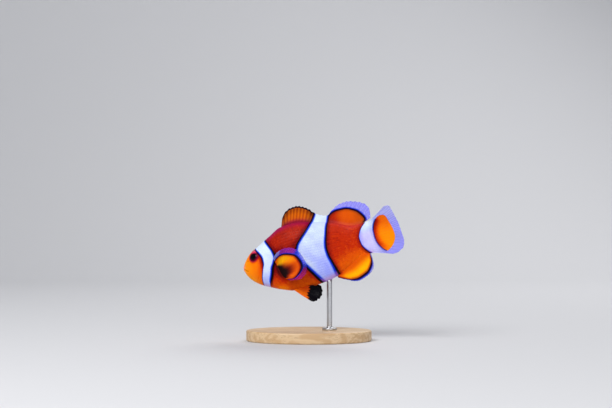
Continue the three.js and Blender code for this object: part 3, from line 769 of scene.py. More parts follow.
SCALE_ROWS = 28
SCALE_OVERLAP = 1.6  # length of a scale in pitches
SCALE_FOOT_MM = 0.09  # how far a scale's underside is sunk in the skin
SCALE_SPREAD = 1.22  # width of a scale in rows
SCALE_SINK_MM, SCALE_DOME_MM = 0.04, 0.016
EYE_BARE_MM, ROOT_BARE_MM = 4.2, 1.5
SCALE_PATCH = 0.003  # side of a scale's patch on the unwrapped flank
SCALE_SIZE = curve([(0.1, 0.6), (0.2, 0.75), (0.35, 1.0), (0.6, 1.0), (0.85, 0.8), (1.03, 0.7)])
FIRST_SCALE, LAST_SCALE = 0.13, 1.01
seeds = np.random.default_rng(7)


def scale_roots():
    """Stations and angles of the scales of one flank. Columns follow each other by the pitch times the
    local size, rows share the girth evenly, and every other row is set back by half a pitch. Bare places
    are left out: the face, the gill slit, the cheek's fold and the pectoral fin's pad."""
    fine = np.linspace(FIRST_SCALE, LAST_SCALE, 2000)
    count = np.concatenate([[0], np.cumsum(np.diff(fine) / (SCALE_PITCH * SCALE_SIZE(fine[1:])))])
    turn = np.linspace(-math.pi / 2, math.pi / 2, 400)
    girth = np.linalg.norm(np.diff(skin_point(0.45, turn), axis=0), axis=-1)
    girth = np.concatenate([[0], np.cumsum(girth)]) / girth.sum()
    column, row = np.meshgrid(np.arange(int(count[-1])), np.arange(SCALE_ROWS), indexing="ij")
    column, row = column.ravel() + 0.5 * (row.ravel() % 2), row.ravel()
    s = np.interp(column, count, fine)
    share = (row + 0.5) / SCALE_ROWS
    angle = np.interp(share, girth, turn)
    upper, lower = (np.interp(share + half, girth, turn) for half in (0.5 / SCALE_ROWS, -0.5 / SCALE_ROWS))
    half_turn = (upper - lower) / 2
    middle = skin_point(s + SCALE_PITCH * 0.5, angle)
    h = middle[:, 2]
    scaly = from_point_mm(middle, EYE_POINT) > EYE_BARE_MM
    scaly &= s > np.interp(h, [-0.2, -0.1, 0.0, 0.1, 0.2], [0.16, 0.17, 0.185, 0.165, 0.13])
    behind_gill = offset_mm(s, h, gill_edge)
    scaly &= ~((behind_gill > -1.2) & (behind_gill < 0.7) & (gill_window(h) > 0.1))
    scaly &= from_root_mm(s, h, PECTORAL_ROOT) > ROOT_BARE_MM
    return s[scaly], angle[scaly], half_turn[scaly]


def make_scales(name, side):
    """The scales of one flank. Each is a closed shield laid on the skin: a grid along and across,
    rounded at its rear, domed across, rising to a thin free edge, over an underside that is sunk in the
    skin."""
    s0, angle0, half_turn = scale_roots()
    along = np.array([0, 0.35, 0.7, 0.94, 1.0])
    across = np.array([-1, -0.55, 0, 0.55, 1])
    rounding = np.sqrt(1 - 0.97 * np.clip((along - 0.4) / 0.6, 0, 1) ** 2.4)
    width = (0.6 + 0.4 * smooth(along, 0, 0.35)) * rounding
    size = SCALE_SIZE(s0)
    length = SCALE_PITCH * SCALE_OVERLAP * size
    s = s0[:, None, None] + length[:, None, None] * (along - 0.3)[None, :, None] + 0 * across
    angle = angle0[:, None, None] + (SCALE_SPREAD * half_turn)[:, None, None] * width[None, :, None] * across
    rise = np.array([-SCALE_SINK_MM, 0.012, 0.032, 0.048, -SCALE_SINK_MM])
    top = np.where(np.abs(across) == 1, -SCALE_SINK_MM, rise[:, None] - SCALE_DOME_MM * across**2)
    top = top * (0.45 + 0.55 * size)[:, None, None]
    plain = skin_point(s, angle)
    normal = skin_normal(s, angle)
    base = relief_mm(plain)
    upper = moved(plain, normal, base + top)
    lower = moved(plain, normal, base - SCALE_FOOT_MM)
    rows, columns = len(along), len(across)
    inner = np.zeros((rows, columns), bool)
    inner[1:-1, 1:-1] = True
    place = np.concatenate([upper.reshape(len(s0), -1, 3), lower[:, inner]], axis=1)
    vary = 0.03 * seeds.standard_normal(len(s0))
    marks = flesh_marks(np.concatenate([plain.reshape(len(s0), -1, 3), plain[:, inner]], axis=1))
    marks["tone"] = marks["tone"] + vary[:, None]
    # Painted shade along each scale's free edge, on the orange only.
    shaded_free_edge = np.concatenate([np.tile(along[:, None] > 0.9, columns).ravel(), np.zeros(inner.sum(), bool)])
    marks["shade"] = np.maximum(marks["shade"], 0.13 * shaded_free_edge * (marks["across"] > 0))

    grid = np.arange(rows * columns).reshape(rows, columns)
    under = grid.copy()
    under[inner] = rows * columns + np.arange(inner.sum())
    one = np.concatenate([grid_quads(grid), grid_quads(under)[:, ::-1]])
    per_scale = rows * columns + inner.sum()
    local = np.stack(np.meshgrid(along - 0.5, across / 2, indexing="ij"), -1).reshape(-1, 2)[:, ::-1]
    local = np.concatenate([local, local[inner.ravel()]]) * SCALE_PATCH
    root = np.stack([(angle0 + math.pi / 2) / math.pi, s0 / STALK_END], -1) * 0.98 + 0.01
    uv = root[:, None, None] + local[one][None]
    if side > 0:
        place = place * MIRROR
        one = one[:, ::-1]
        uv = uv[:, :, ::-1]
    faces = (one[None] + per_scale * np.arange(len(s0))[:, None, None]).reshape(-1, 4)
    return mesh_piece(
        name, placed(place.reshape(-1, 3)), [faces], SCALE_PAINT, "skin_orange", marks=marks,
        corner_uvs=uv.reshape(-1, 2),
    )


for side_name, side in SIDES:
    make_scales(f"scales_{side_name}", side)

# ---------------------------------------- fins
# A fin is a fan of rays over v, 0 to 1, and u along each ray from the root, sunk in the body, to the rim.

FAR_MM = 9.0  # a distance that no marking reaches
MEMBRANE_MM = 0.1  # half the thickness between rays
RIDGE_MM = 0.1  # height of a ray over the membrane
FORK = 0.25  # how far a ray's branches part, in spacings of the rays
RIPPLE_LEAN = 0.35
MEDIAN_ROOT_SINK = 0.03
FIN_MARKS = "across line tone plum blush cool clear pale shade ink ray".split()


def fan_line(knots):
    """A line of (station, height) over v, from (v, station, height) knots."""
    station = curve([(v, s) for v, s, _ in knots])
    height = curve([(v, h) for v, _, h in knots])
    return lambda v: (station(v), height(v))


def median_fan(root, tip, sway=0.0):
    """Middle surface of a fin in the fish's own plane: straight rays, swayed sideways by u squared."""
    rim = fan_line(tip)

    def middle(u, v):
        (root_s, root_h), (tip_s, tip_h) = root(v), rim(v)
        s, h = root_s + (tip_s - root_s) * u, root_h + (tip_h - root_h) * u
        return np.stack([s, sway * u * u + 0 * v, h], -1)

    return middle


def paired_fan(side, sweep, sink, cup, root, tip):
    """Middle surface of a fin that stands out from the flank: rays run back and out at the sweep angle,
    and the cup bends the blade outwards."""
    root_line, rim = fan_line(root), fan_line(tip)
    slope = math.tan(math.radians(sweep))

    def middle(u, v):
        (root_s, root_h), (tip_s, tip_h) = root_line(v), rim(v)
        run = (tip_s - root_s) * u
        out = flank(root_s, root_h) - sink + run * slope + cup(u, v)
        return np.stack([root_s + run, side * out, root_h + (tip_h - root_h) * u], -1)

    return middle


def rayed_fin(name, middle, rays, marks, replaced, slot, rows=64, per_ray=10, branch=0.45, notch=0.15,
              root_mm=0.55, root_reach=1.8, ripple=(0.25, 2.0), ray_mm=0.13):
    """A closed fin: its middle surface thickened on both sides. Each ray is a bell-shaped ridge on the
    membrane that forks towards the rim, the rim is notched between rays, the root is fleshy, and slow
    ripples run over the blade."""
    u, v = np.meshgrid(np.linspace(0, 1, rows), np.linspace(0, 1, rays * per_ray + 1), indexing="ij")
    between = np.sin(math.pi * rays * v) ** 2
    rough = middle(u, v)
    ray_length = np.linalg.norm(rough[-1] - rough[0], axis=-1) * LENGTH_MM
    u_cut = u * (1 - notch * between * u**8 / ray_length)
    place = middle(u_cut, v)
    normal = unit(np.cross(np.gradient(place, axis=0), np.gradient(place, axis=1)))
    reach_mm = u * ray_length
    height, waves = ripple
    wave = height * u**2 * np.sin(2 * math.pi * (waves * v + RIPPLE_LEAN * u))
    spacing = np.linalg.norm(np.gradient(place, axis=1), axis=-1) * per_ray * LENGTH_MM
    from_ray = np.abs(rays * v - np.round(rays * v))
    from_ray = np.abs(from_ray - FORK * smooth(u, branch, 1.0)) * spacing
    ray = bell(from_ray, 0, ray_mm * (1.25 - 0.5 * u))
    flesh = root_mm * bell(reach_mm, 0, root_reach) * (0.3 + 0.7 * smooth(v, 0, 0.12) * fade(v, 0.85, 1))
    half = MEMBRANE_MM + flesh + RIDGE_MM * ray * (1 - 0.6 * u)
    half = half * (1 - 0.55 * smooth(u, 0.96, 1.0))
    layers = moved(place, normal, wave + half), moved(place, normal, wave - half)
    points = placed(np.concatenate([layer.reshape(-1, 3) for layer in layers]))
    width = np.linalg.norm(np.gradient(place, axis=1), axis=-1) * (u.shape[1] - 1) * LENGTH_MM
    found = {"pale": 0.7, "cool": 0.2, **marks(u_cut, v, place, ray_length, width), "ray": ray}
    full = {key: np.tile(np.broadcast_to(found.get(key, 0.0), u.shape).ravel(), 2) for key in FIN_MARKS}
    return mesh_piece(name, points, layer_faces(*u.shape), FIN_PAINT, slot, replaced, marks=full)


DORSAL_ROOT = (0.36, 0.9)
DORSAL_RAYS = 25
DORSAL_TIP = [
    (0, 0.37, 0.235), (0.03, 0.386, 0.281), (0.07, 0.418, 0.328), (0.13, 0.47, 0.355), (0.2, 0.516, 0.359),
    (0.27, 0.56, 0.345), (0.35, 0.606, 0.315), (0.41, 0.646, 0.272), (0.48, 0.69, 0.247),
    (0.54, 0.73, 0.236), (0.6, 0.776, 0.268), (0.68, 0.84, 0.298), (0.76, 0.9, 0.304), (0.83, 0.96, 0.291),
    (0.9, 1.02, 0.267), (0.95, 1.06, 0.23), (0.98, 1.068, 0.187), (1, 1.055, 0.142),
]
SOFT_DORSAL = rounded_path([
    (0.7, 0.1), (0.718, 0.192), (0.738, 0.227), (0.771, 0.249), (0.812, 0.257), (0.86, 0.257),
    (0.902, 0.249), (0.929, 0.237), (0.962, 0.219), (0.988, 0.192), (1.008, 0.163), (1.013, 0.145),
    (1.0, 0.122),
]) + [(0.9, 0.0)]
ANAL_ROOT = (0.7, 0.985)
ANAL_TIP = [
    (0, 0.7, -0.235), (0.06, 0.733, -0.253), (0.15, 0.768, -0.27), (0.28, 0.812, -0.288),
    (0.4, 0.848, -0.293), (0.5, 0.876, -0.288), (0.62, 0.911, -0.275), (0.74, 0.945, -0.258),
    (0.84, 0.976, -0.234), (0.91, 0.993, -0.209), (0.96, 0.998, -0.175), (1, 0.994, -0.138),
]
ANAL_LINE = curve([
    (0, 0.93), (0.2, 0.92), (0.3, 0.9), (0.5, 0.885), (0.7, 0.88), (0.8, 0.82), (0.9, 0.74), (1, 0.62),
])
ANAL_LINE_MM = curve([
    (0, 0.1), (0.16, 0.12), (0.3, 0.4), (0.5, 0.56), (0.7, 0.6), (0.8, 0.68), (0.9, 0.74), (1, 0.3),
])
TAIL_TIP = [
    (0, 1.195, -0.15), (0.04, 1.232, -0.147), (0.08, 1.262, -0.135), (0.14, 1.296, -0.117),
    (0.22, 1.314, -0.084), (0.32, 1.323, -0.048), (0.48, 1.32, 0), (0.62, 1.308, 0.056),
    (0.75, 1.291, 0.112), (0.86, 1.28, 0.162), (0.93, 1.27, 0.194), (0.97, 1.248, 0.208), (1, 1.215, 0.207),
]
PATCH_FRONT = [
    (1.185, 0.146), (1.155, 0.149), (1.12, 0.14), (1.092, 0.116), (1.072, 0.08), (1.064, 0.045),
    (1.063, 0.01), (1.067, -0.026), (1.078, -0.057), (1.097, -0.085), (1.122, -0.109), (1.146, -0.119),
]
PATCH_REAR = [
    (1.146, -0.119), (1.172, -0.107), (1.21, -0.079), (1.239, -0.04), (1.25, -0.01), (1.246, 0.022),
    (1.232, 0.06), (1.215, 0.1), (1.203, 0.13), (1.185, 0.146),
]
TAIL_PATCH = rounded_path(PATCH_FRONT)[:-1] + rounded_path(PATCH_REAR)[:-1]
PECTORAL_TIP = [
    (0, 0.322, 0.02), (0.08, 0.338, 0.047), (0.2, 0.372, 0.069), (0.32, 0.413, 0.076), (0.43, 0.461, 0.066),
    (0.53, 0.499, 0.036), (0.62, 0.52, -0.012), (0.71, 0.53, -0.064), (0.8, 0.526, -0.107),
    (0.88, 0.503, -0.145), (0.95, 0.452, -0.172), (1, 0.385, -0.168),
]
PECTORAL_LINE = curve([
    (0, 0.7), (0.12, 0.69), (0.25, 0.73), (0.35, 0.74), (0.45, 0.76), (0.55, 0.83), (0.65, 0.86),
    (0.72, 0.845), (0.78, 0.79), (0.85, 0.71), (0.93, 0.65), (1, 0.6),
])
PECTORAL_LINE_MM = curve([
    (0, 0.35), (0.15, 0.45), (0.3, 0.55), (0.5, 0.6), (0.65, 0.78), (0.8, 0.8), (0.9, 0.5), (1, 0.3),
])
# How far out along each ray the painted shade of the pectoral fin's cup reaches, over v.
PECTORAL_SHADE_REACH = curve([
    (0, 0.16), (0.15, 0.21), (0.25, 0.26), (0.35, 0.29), (0.45, 0.33), (0.55, 0.38), (0.65, 0.48),
    (0.75, 0.43), (0.85, 0.27), (1, 0.2),
])
PECTORAL_TONE = curve([
    (0, 0.4), (0.15, 0.18), (0.25, 0.06), (0.35, 0.04), (0.45, 0.12), (0.55, 0.26), (0.65, 0.48),
    (0.85, 0.46), (1, 0.52),
])
PECTORAL_MARGIN = curve([
    (0, 0.56), (0.08, 0.5), (0.16, 0.34), (0.3, 0.2), (0.45, 0.18), (0.54, 0.5), (0.66, 0.6), (0.75, 0.47),
    (0.81, 0.05), (1, 0.0),
])
PELVIC_TIP = [
    (0, 0.463, -0.349), (0.12, 0.483, -0.362), (0.28, 0.507, -0.363), (0.45, 0.532, -0.345),
    (0.6, 0.547, -0.32), (0.75, 0.553, -0.29), (0.88, 0.545, -0.262), (1, 0.51, -0.243),
]
PELVIC_BLACK = curve([(-0.36, 0.464), (-0.335, 0.456), (-0.302, 0.453), (-0.27, 0.475), (-0.24, 0.48)])


def margin_clearness(across, line):
    """0 up to the outside of the black line and 1 well past it."""
    return smooth(-across - line, 0.05, 0.5)


def beside_line(across, line, reach_mm):
    """1 at the black line's orange side, falling away from it, and 0 beyond the line."""
    return bell(np.maximum(across - line, 0), 0, reach_mm) * (across > 0)


def dorsal_marks(u, v, place, ray_length, width):
    """The trunk's white band crosses the fin. In front of it the fin is brown between amber spines, with
    black along the rim. Behind it a black line draws in from the rim and leaves a clear margin."""
    s, _, h = np.moveaxis(place, -1, 0)
    band = band_lines(s, h, BANDS[1:2])
    front = s < (TRUNK_BAND_FRONT(h) + TRUNK_BAND_REAR(h)) / 2
    from_rim = np.minimum((1 - u) * ray_length, 0.2 + v * width)
    rim_line = 0.5 + 0.4 * smooth(v, 0.02, 0.1)
    soft = depth_mm(s, h, SOFT_DORSAL)
    soft_line = 0.45 + 0.1 * smooth(s, 0.9, 1.0)
    rim = np.where(front, from_rim, soft), np.where(front, rim_line, soft_line)
    across, line = nearest(rim, band)
    clear = np.where(front, 0, margin_clearness(soft, soft_line) * smooth(band[0], -0.4, 0.4))
    low = fade(u, 0.15, 0.45)
    between = (0.5 - 0.5 * np.cos(2 * math.pi * DORSAL_RAYS * v)) * (1 - low)
    orange = band[0] > -0.5
    front_shade = 0.24 + 0.22 * between + 0.15 * low + 0.26 * smooth(u, 0.55, 0.85)
    front_shade = front_shade + 0.22 * fade(v, 0.06, 0.14) + 0.2 * smooth(v, 0.32, 0.37)
    rear_shade = (0.13 + 0.2 * smooth(s, 0.88, 0.98)) * (soft > 0) + 0.35 * beside_line(soft, soft_line, 0.7)
    shade = np.where(front, front_shade, rear_shade) * orange
    rear_tone = 0.5 + 0.32 * fade(band[0], 0.5, 7.5) + 0.1 * low
    tone = np.where(front, 0.38 + 0.1 * between + 0.5 * low, rear_tone)
    from_back = (h - BACK(s)) * LENGTH_MM
    # Painted violet rim light low on the spiny part, just over the back.
    plum = 0.4 * bell(from_back, 0.3, 1.2) * fade(s, 0.55, 0.72)
    # Painted highlight along the soft part's base.
    blush = 0.06 * bell(from_back, 0.2, 0.9) * smooth(s, 0.68, 0.76)
    return {"across": across, "line": line, "tone": tone, "clear": 0.5 * clear, "shade": shade, "cool": 0.1,
            "plum": plum, "blush": blush}


def anal_marks(u, v, place, ray_length, width):
    """Orange at the root, amber further out, a black line that draws in from the rim towards the rear,
    and a clear margin."""
    rear_edge = 0.96 + 0.08 * fade(u, 0.25, 0.6)
    across = np.minimum((ANAL_LINE(v) - u) * ray_length, (rear_edge - v) * width)
    line = ANAL_LINE_MM(v)
    ends = 0.36 * bell(v, 0.05, 0.09) + 0.15 * bell(v, 0.95, 0.06)
    beside = beside_line(across, line, 0.8)
    tone = 0.05 + 0.45 * fade(u + 0.15 * (v - 0.5), 0.2, 0.6) + ends + 0.4 * beside
    return {"across": across, "line": line, "tone": tone, "pale": 0.78,
            "shade": 0.5 * beside + 0.16 * (across < 0), "clear": 0.5 * margin_clearness(across, line)}


def tail_marks(u, v, place, ray_length, width):
    """An amber patch, with black along its front edge alone. In front of it the tail is white as the
    stalk is; round and behind it the margin is clear."""
    s, _, h = np.moveaxis(place, -1, 0)
    across = depth_mm(s, h, TAIL_PATCH)
    front_distance = path_distance_mm(s, h, PATCH_FRONT[3:-1])
    in_front = fade(front_distance, 0.7, 1.4)
    beside_front = 0.58 * bell(front_distance, 0, 2.2) * smooth(h, -0.14, -0.05)
    tone = 0.22 + 0.22 * smooth(h, -0.01, 0.12) + beside_front
    round_patch = smooth(s, 1.03, 1.16)
    clear = 0.42 * smooth(-across, 0.0, 0.35) * round_patch
    cool = flesh_lilac_shade(s, h) * (1 - round_patch) + round_patch
    return {"across": across, "line": 0.02 + 0.24 * in_front, "tone": tone, "clear": clear, "cool": cool,
            "pale": 0.7 + 0.16 * smooth(h, 0.05, 0.18),
            "shade": 0.08 * smooth(h, 0.03, 0.13) + 0.13 * bell(front_distance, 0, 1.6) * (across < -0.3),
            "blush": 0.14 * (1 - round_patch) * fade(h, 0.03, 0.08) * (across < 0)}


def pectoral_marks(u, v, place, ray_length, width):
    """Amber inside a black line, with painted shade in the fin's cup that reaches out from the root furthest
    along the middle rays, and a clear margin that turns from blue through violet above, and blue again
    behind, to magenta below."""
    across, line = (PECTORAL_LINE(v) - u) * ray_length, PECTORAL_LINE_MM(v)
    # Painted shade in the fin's cup: dark from the root out to the reach, and browner a little further out.
    reach = PECTORAL_SHADE_REACH(v)
    soft = 0.35 + 0.15 * smooth(v, 0.42, 0.55)
    cup_shade = fade(u, (1 - soft) * reach, (1 + soft) * reach)
    low = 0.25 * smooth(v, 0.86, 0.95) * (across > 0)
    beside = beside_line(across, line, 0.8)
    tone = PECTORAL_TONE(v) + 0.35 * fade(u, 0.5 * reach, 1.8 * reach) * smooth(v, 0.3, 0.5) + 0.35 * beside
    clear = (0.3 + 0.45 * smooth(v, 0.15, 0.3)) * margin_clearness(across, line)
    over_band = 0.5 * bell(v, 0.78, 0.07) * (across < 0)
    return {"across": across, "line": line, "tone": tone, "clear": clear,
            "shade": np.clip(cup_shade + low + 0.3 * beside + over_band, 0, 1),
            "pale": PECTORAL_MARGIN(v)}


def pelvic_marks(u, v, place, ray_length, width):
    """Orange at the root, in two strips with painted shade along a crease between, and black behind a jagged
    line.
    """
    s, _, h = np.moveaxis(place, -1, 0)
    jags = 0.35 * np.cos(12 * math.pi * v)
    black = smooth(offset_mm(s, h, PELVIC_BLACK) + jags, -0.3, 0.3)
    # Painted shade along the crease between the two orange strips.
    crease_shade = 0.14 * bell(v, 0.55, 0.12)
    tone = 0.42 + 0.24 * smooth(v, 0.5, 0.85)
    return {"across": FAR_MM, "line": 0.1, "tone": tone + 0.5 * crease_shade, "shade": crease_shade, "ink": black}


def median_root(first, last, edge, sink):
    """A root line from one station to another, set in from the back or the belly."""

    def root(v):
        station = first + (last - first) * v
        return station, edge(station) + sink

    return root


def tail_root(v):
    """Upright, inside the end of the tail stalk."""
    return 1.0 + 0 * v, -0.108 + 0.21 * v


rayed_fin(
    "dorsal_membrane", median_fan(median_root(*DORSAL_ROOT, BACK, -MEDIAN_ROOT_SINK), DORSAL_TIP),
    DORSAL_RAYS, dorsal_marks,
    ["dorsal_fin_front", "dorsal_fin_middle", "dorsal_fin_rear"], "fin_orange", rows=56, per_ray=12,
    branch=0.6, notch=0.3, ripple=(0.2, 3.0),
)
rayed_fin(
    "anal_membrane", median_fan(median_root(*ANAL_ROOT, BELLY, MEDIAN_ROOT_SINK), ANAL_TIP), 14,
    anal_marks, ["anal_fin"], "fin_amber",
    per_ray=14, branch=0.5, root_mm=1.3, root_reach=3.2,
)
rayed_fin(
    "tail_membrane", median_fan(tail_root, TAIL_TIP, sway=-0.02), 15, tail_marks,
    ["tail_fin"], "fin_amber", rows=90, per_ray=16, branch=0.35, root_mm=0.75, root_reach=5.0,
)
for side_name, side in SIDES:
    rayed_fin(
        f"pectoral_membrane_{side_name}",
        paired_fan(
            side, 28, 0.013, lambda u, v: 0.04 * u + 0.06 * u * (1 - v) ** 3, PECTORAL_ROOT, PECTORAL_TIP
        ),
        16, pectoral_marks, [f"pectoral_fin_{side_name}"], "fin_amber", per_ray=12, branch=0.5,
        ripple=(0.15, 2.5),
    )
    rayed_fin(
        f"pelvic_membrane_{side_name}",
        paired_fan(side, 10, 0.02, lambda u, v: 0.02 * u * (1 - v), PELVIC_ROOT, PELVIC_TIP),
        6, pelvic_marks, [f"pelvic_fin_{side_name}"], "fin_black", per_ray=24, branch=0.4, notch=0.3,
    )

# ---------------------------------------- eyes

PUPIL_MM, IRIS_MM = 1.35, 2.2
PUPIL_PLACE_MM = 0.12, -0.25
IRIS = [(0.0, 24, 0, 14), (0.35, 62, 0, 26), (0.75, 112, 4, 34), (0.92, 70, 0, 24), (1.0, 26, 0, 12)]
LENS_HEIGHT_MM, LENS_WIDTH_MM = 0.1, 1.1
EYE_RINGS, EYE_AROUND = 44, 72


def eye_paint():
    """A black pupil in a maroon iris with soft streaks and a painted pink highlight above, under a clear
    glossy coat.
    """
    paint = Paint("fish_eye", Coat_Weight=0.14, Coat_Roughness=0.03, Roughness=0.35, Specular_IOR_Level=0.0)
    radius, above = paint.mark("radius"), paint.mark("above")
    streaks = paint.noise(2600.0, 3.0)
    far = (radius - PUPIL_MM) / (IRIS_MM - PUPIL_MM) + (streaks - 0.5) * 0.35
    # Painted pink highlight on the iris's upper part.
    iris = paint.mix(above.step(0.9, 2.1), paint.ramp(IRIS, far), srgb(232, 52, 96))
    pupil = radius.step(PUPIL_MM + 0.05, PUPIL_MM - 0.05)
    return paint.finish(Base_Color=paint.mix(pupil, iris, srgb(6, 4, 10)))


EYE_PAINT = eye_paint()


def make_eye(name, side, node):
    """An eyeball: an ellipsoid flattened across, with the lens a low bell on its outer face."""
    tilt = np.linspace(0, math.pi, EYE_RINGS + 2)[1:-1, None]
    turn = np.linspace(0, 2 * math.pi, EYE_AROUND, endpoint=False)[None, :]
    forward = unit(np.cross([0, 0, 1], EYE_AXIS))
    upward = np.cross(EYE_AXIS, forward)
    half_depth = EYE_RADIUS_MM * EYE_FLATNESS
    radius = EYE_RADIUS_MM * np.sin(tilt) + 0 * turn
    lens = LENS_HEIGHT_MM * bell(radius, 0, LENS_WIDTH_MM) * (np.cos(tilt) > 0)
    place = moved(moved(EYE_POINT, forward, radius * np.cos(turn)), upward, radius * np.sin(turn))
    place = moved(place, EYE_AXIS, half_depth * np.cos(tilt) + lens - EYE_INSET_MM)
    ends = np.array([half_depth + LENS_HEIGHT_MM - EYE_INSET_MM, -half_depth - EYE_INSET_MM])
    poles = moved(EYE_POINT, EYE_AXIS, ends)
    if side > 0:
        place, poles = place[:, ::-1] * MIRROR, poles * MIRROR
    above = radius * np.sin(turn)
    from_pupil = np.hypot(radius * np.cos(turn) - PUPIL_PLACE_MM[0], above - PUPIL_PLACE_MM[1])
    marks = {"radius": np.where(np.cos(tilt) > 0, from_pupil, FAR_MM), "above": above}
    return tube_piece(
        name, placed(place), *placed(poles), marks=marks, material=EYE_PAINT, slot="eye", replaced=[node]
    )


for side_name, side in SIDES:
    make_eye(f"eyeball_{side_name}", side, f"eye_{side_name}")

# ---------------------------------------- stand


def wood_paint():
    """Pale hardwood: rings and fine pores drawn out along the base, under a satin oil."""
    paint = Paint("oiled_hardwood", Coat_Roughness=0.3, Specular_IOR_Level=0.45)
    rings = paint.noise(120.0, 4.0, (0.12, 1, 0.6))
    bands = (rings * 60).sine().step(-1.0, 1.0)
    pores = paint.noise(2400.0, 2.0, (0.05, 1, 1)).step(0.56, 0.72)
    colour = paint.mix(bands * 0.7, srgb(214, 184, 144), srgb(190, 152, 108))
    colour = paint.mix(pores * 0.45, colour, srgb(128, 92, 60))
    return paint.finish(
        Base_Color=colour, Roughness=0.42 + bands * 0.12 + pores * 0.1, Coat_Weight=0.1 + bands * 0.08,
        Normal=paint.bump(1 - pores, 0.3, 0.06 * MM),
    )


def steel_paint():
    """Steel brushed round the rod: fine lines across its height in the gloss and the surface."""
    paint = Paint("brushed_steel", Metallic=1.0)
    lines = paint.noise(900.0, 3.0, (0.15, 0.15, 9))
    return paint.finish(
        Base_Color=paint.mix(lines, srgb(176, 177, 180), srgb(206, 207, 210)), Roughness=0.24 + lines * 0.16,
        Normal=paint.bump(lines, 0.15, 0.02 * MM),
    )


def turned(name, profile_mm, centre, stretch, material, slot, node, around=96):
    """A closed body of revolution from a (radius, height) profile, drawn out to an oval by adding a
    length to the radius along each axis."""
    radius, height = np.array(profile_mm, float).T * MM
    turn = np.linspace(0, 2 * math.pi, around, endpoint=False)
    rings = np.stack([
        centre[0] + (radius[:, None] + stretch[0]) * np.cos(turn),
        centre[1] + (radius[:, None] + stretch[1]) * np.sin(turn),
        centre[2] + height[:, None] + 0 * turn,
    ], -1)
    low = [centre[0], centre[1], centre[2] + height[0]]
    high = [centre[0], centre[1], centre[2] + height[-1]]
    rings = rings[:, ::-1]
    return tube_piece(name, rings, low, high, material=material, slot=slot, replaced=[node])


def rounded_edge(radius, height, corner, quarter, steps=7):
    """Profile points of a quarter round between an upright side and a flat: quarter 0 is the lower edge
    and 1 the upper one."""
    turn = np.linspace(-math.pi / 2, 0, steps) if quarter == 0 else np.linspace(0, math.pi / 2, steps)
    centre = height + corner if quarter == 0 else height - corner
    return [(radius - corner + corner * math.cos(t), centre + corner * math.sin(t)) for t in turn]


BASE_LOW, BASE_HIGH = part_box("stand_base")
BASE_HALF = (BASE_HIGH - BASE_LOW) / 2
BASE_EDGE_MM = 0.8
ROD_RADIUS_MM, FOOT_RADIUS_MM, FOOT_HEIGHT_MM = 1.25, 3.4, 1.1
ROD_IN_BELLY_MM = 1.0


def make_stand():
    """The oval base with rounded edges, and the flanged rod, whose head goes a little way into the belly."""
    half_mm = BASE_HALF.y / MM
    thick = (BASE_HIGH.z - BASE_LOW.z) / MM
    base = [(half_mm - 6, 0), (half_mm - 1.2, 0)]
    base += rounded_edge(half_mm, 0, BASE_EDGE_MM, 0) + [(half_mm, thick / 2)]
    base += rounded_edge(half_mm, thick, BASE_EDGE_MM, 1) + [(half_mm - 1.2, thick), (half_mm - 6, thick)]
    turned("display_base", base, (0, 0, BASE_LOW.z), (BASE_HALF.x - BASE_HALF.y, 0), wood_paint(),
           "stand_wood", "stand_base", around=160)
    top = (VENT_HEIGHT - BASE_HIGH.z) / MM + ROD_IN_BELLY_MM
    rod = [(FOOT_RADIUS_MM * 0.6, 0), (FOOT_RADIUS_MM - 0.1, 0), (FOOT_RADIUS_MM, 0.08)]
    rod += rounded_edge(FOOT_RADIUS_MM, FOOT_HEIGHT_MM, 0.35, 1, 5)
    rod += [(ROD_RADIUS_MM + 0.5, FOOT_HEIGHT_MM), (ROD_RADIUS_MM + 0.2, FOOT_HEIGHT_MM + 0.06),
            (ROD_RADIUS_MM + 0.04, FOOT_HEIGHT_MM + 0.25), (ROD_RADIUS_MM, FOOT_HEIGHT_MM + 0.6)]
    rod += [(ROD_RADIUS_MM, z) for z in np.linspace(FOOT_HEIGHT_MM + 1, top, 12)]
    turned("display_rod", rod, (ROD_AXIS.x, ROD_AXIS.y, BASE_HIGH.z), (0, 0), steel_paint(), "stand_steel",
           "stand_rod", around=48)


make_stand()

# ---------------------------------------- stage

FLOOR_WIDTH, FLOOR_FRONT, FLOOR_BACK, WALL_BEND, WALL_HEIGHT = 3.0, -1.4, 0.5, 0.35, 1.6


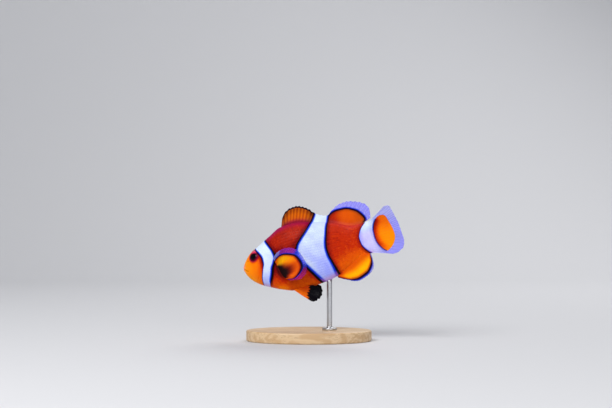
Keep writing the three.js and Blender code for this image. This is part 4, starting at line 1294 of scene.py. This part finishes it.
def make_stage():
    """A pale sweep: the floor runs back, bends up through a quarter circle and goes on as the wall."""
    bend = np.linspace(0, math.pi / 2, 24)
    y = np.concatenate([[FLOOR_FRONT], FLOOR_BACK + WALL_BEND * np.sin(bend), [FLOOR_BACK + WALL_BEND]])
    z = np.concatenate([[0], WALL_BEND * (1 - np.cos(bend)), [WALL_HEIGHT]])
    x = np.array([-FLOOR_WIDTH / 2, FLOOR_WIDTH / 2])
    points = np.stack([np.tile(x, len(y)), np.repeat(y, 2), np.repeat(z, 2)], -1)
    i = np.arange(len(y) - 1) * 2
    quads = np.stack([i, i + 1, i + 3, i + 2], -1)
    mesh = bpy.data.meshes.new("pale_sweep")
    mesh.from_pydata(points.tolist(), [], quads.tolist())
    mesh.polygons.foreach_set("use_smooth", np.ones(len(quads), bool))
    paint = Paint("pale_sweep", Roughness=0.9, Specular_IOR_Level=0.1)
    mesh.materials.append(paint.finish(Base_Color=srgb(214, 214, 216)))
    sweep = in_scene("pale_sweep", mesh)


def soft_light(name, place, aim, size, watts, colour=(1, 1, 1)):
    """A round soft light that faces a point."""
    light = bpy.data.lights.new(name, "AREA")
    light.shape = "DISK"
    light.size, light.energy, light.color = size, watts, colour
    lamp = in_scene(name, light)
    lamp.location = place
    lamp.rotation_euler = (Vector(aim) - Vector(place)).to_track_quat("-Z", "Y").to_euler()


make_stage()
FISH_MIDDLE = (0.0, 0.0, 0.04)
SKY_COLOUR, SKY_STRENGTH = (0.9, 0.93, 1.0, 1), 0.35
soft_light("key", (-0.35, -0.6, 0.6), FISH_MIDDLE, 0.5, 6.0)
soft_light("fill", (0.35, -0.85, 0.14), FISH_MIDDLE, 0.6, 2.0)
soft_light("back", (0.3, 0.5, 0.6), FISH_MIDDLE, 0.5, 2.5)

world = bpy.data.worlds.new("studio")
world.use_nodes = True
sky = world.node_tree.nodes["Background"].inputs
sky["Color"].default_value = SKY_COLOUR
sky["Strength"].default_value = SKY_STRENGTH
bpy.context.scene.world = world
bpy.context.scene.view_settings.view_transform = "Standard"

# ---------------------------------------- camera

CAMERA_BEHIND_SNOUT = 29.2 * MM
CAMERA_ABOVE_SNOUT = 29.8 * MM
CAMERA_DISTANCE = 668.6 * MM
LENS_MM, SENSOR_MM = 85, 36
NEAREST, FURTHEST = 0.01, 10
lens = bpy.data.cameras.new("camera")
lens.lens, lens.sensor_width = LENS_MM, SENSOR_MM
lens.clip_start, lens.clip_end = NEAREST, FURTHEST
camera = in_scene("camera", lens)
camera.location = (
    SNOUT_PLACE[0] + CAMERA_BEHIND_SNOUT, -CAMERA_DISTANCE, SNOUT_PLACE[2] + CAMERA_ABOVE_SNOUT,
)
camera.rotation_euler = (math.pi / 2, 0, 0)
bpy.context.scene.camera = camera
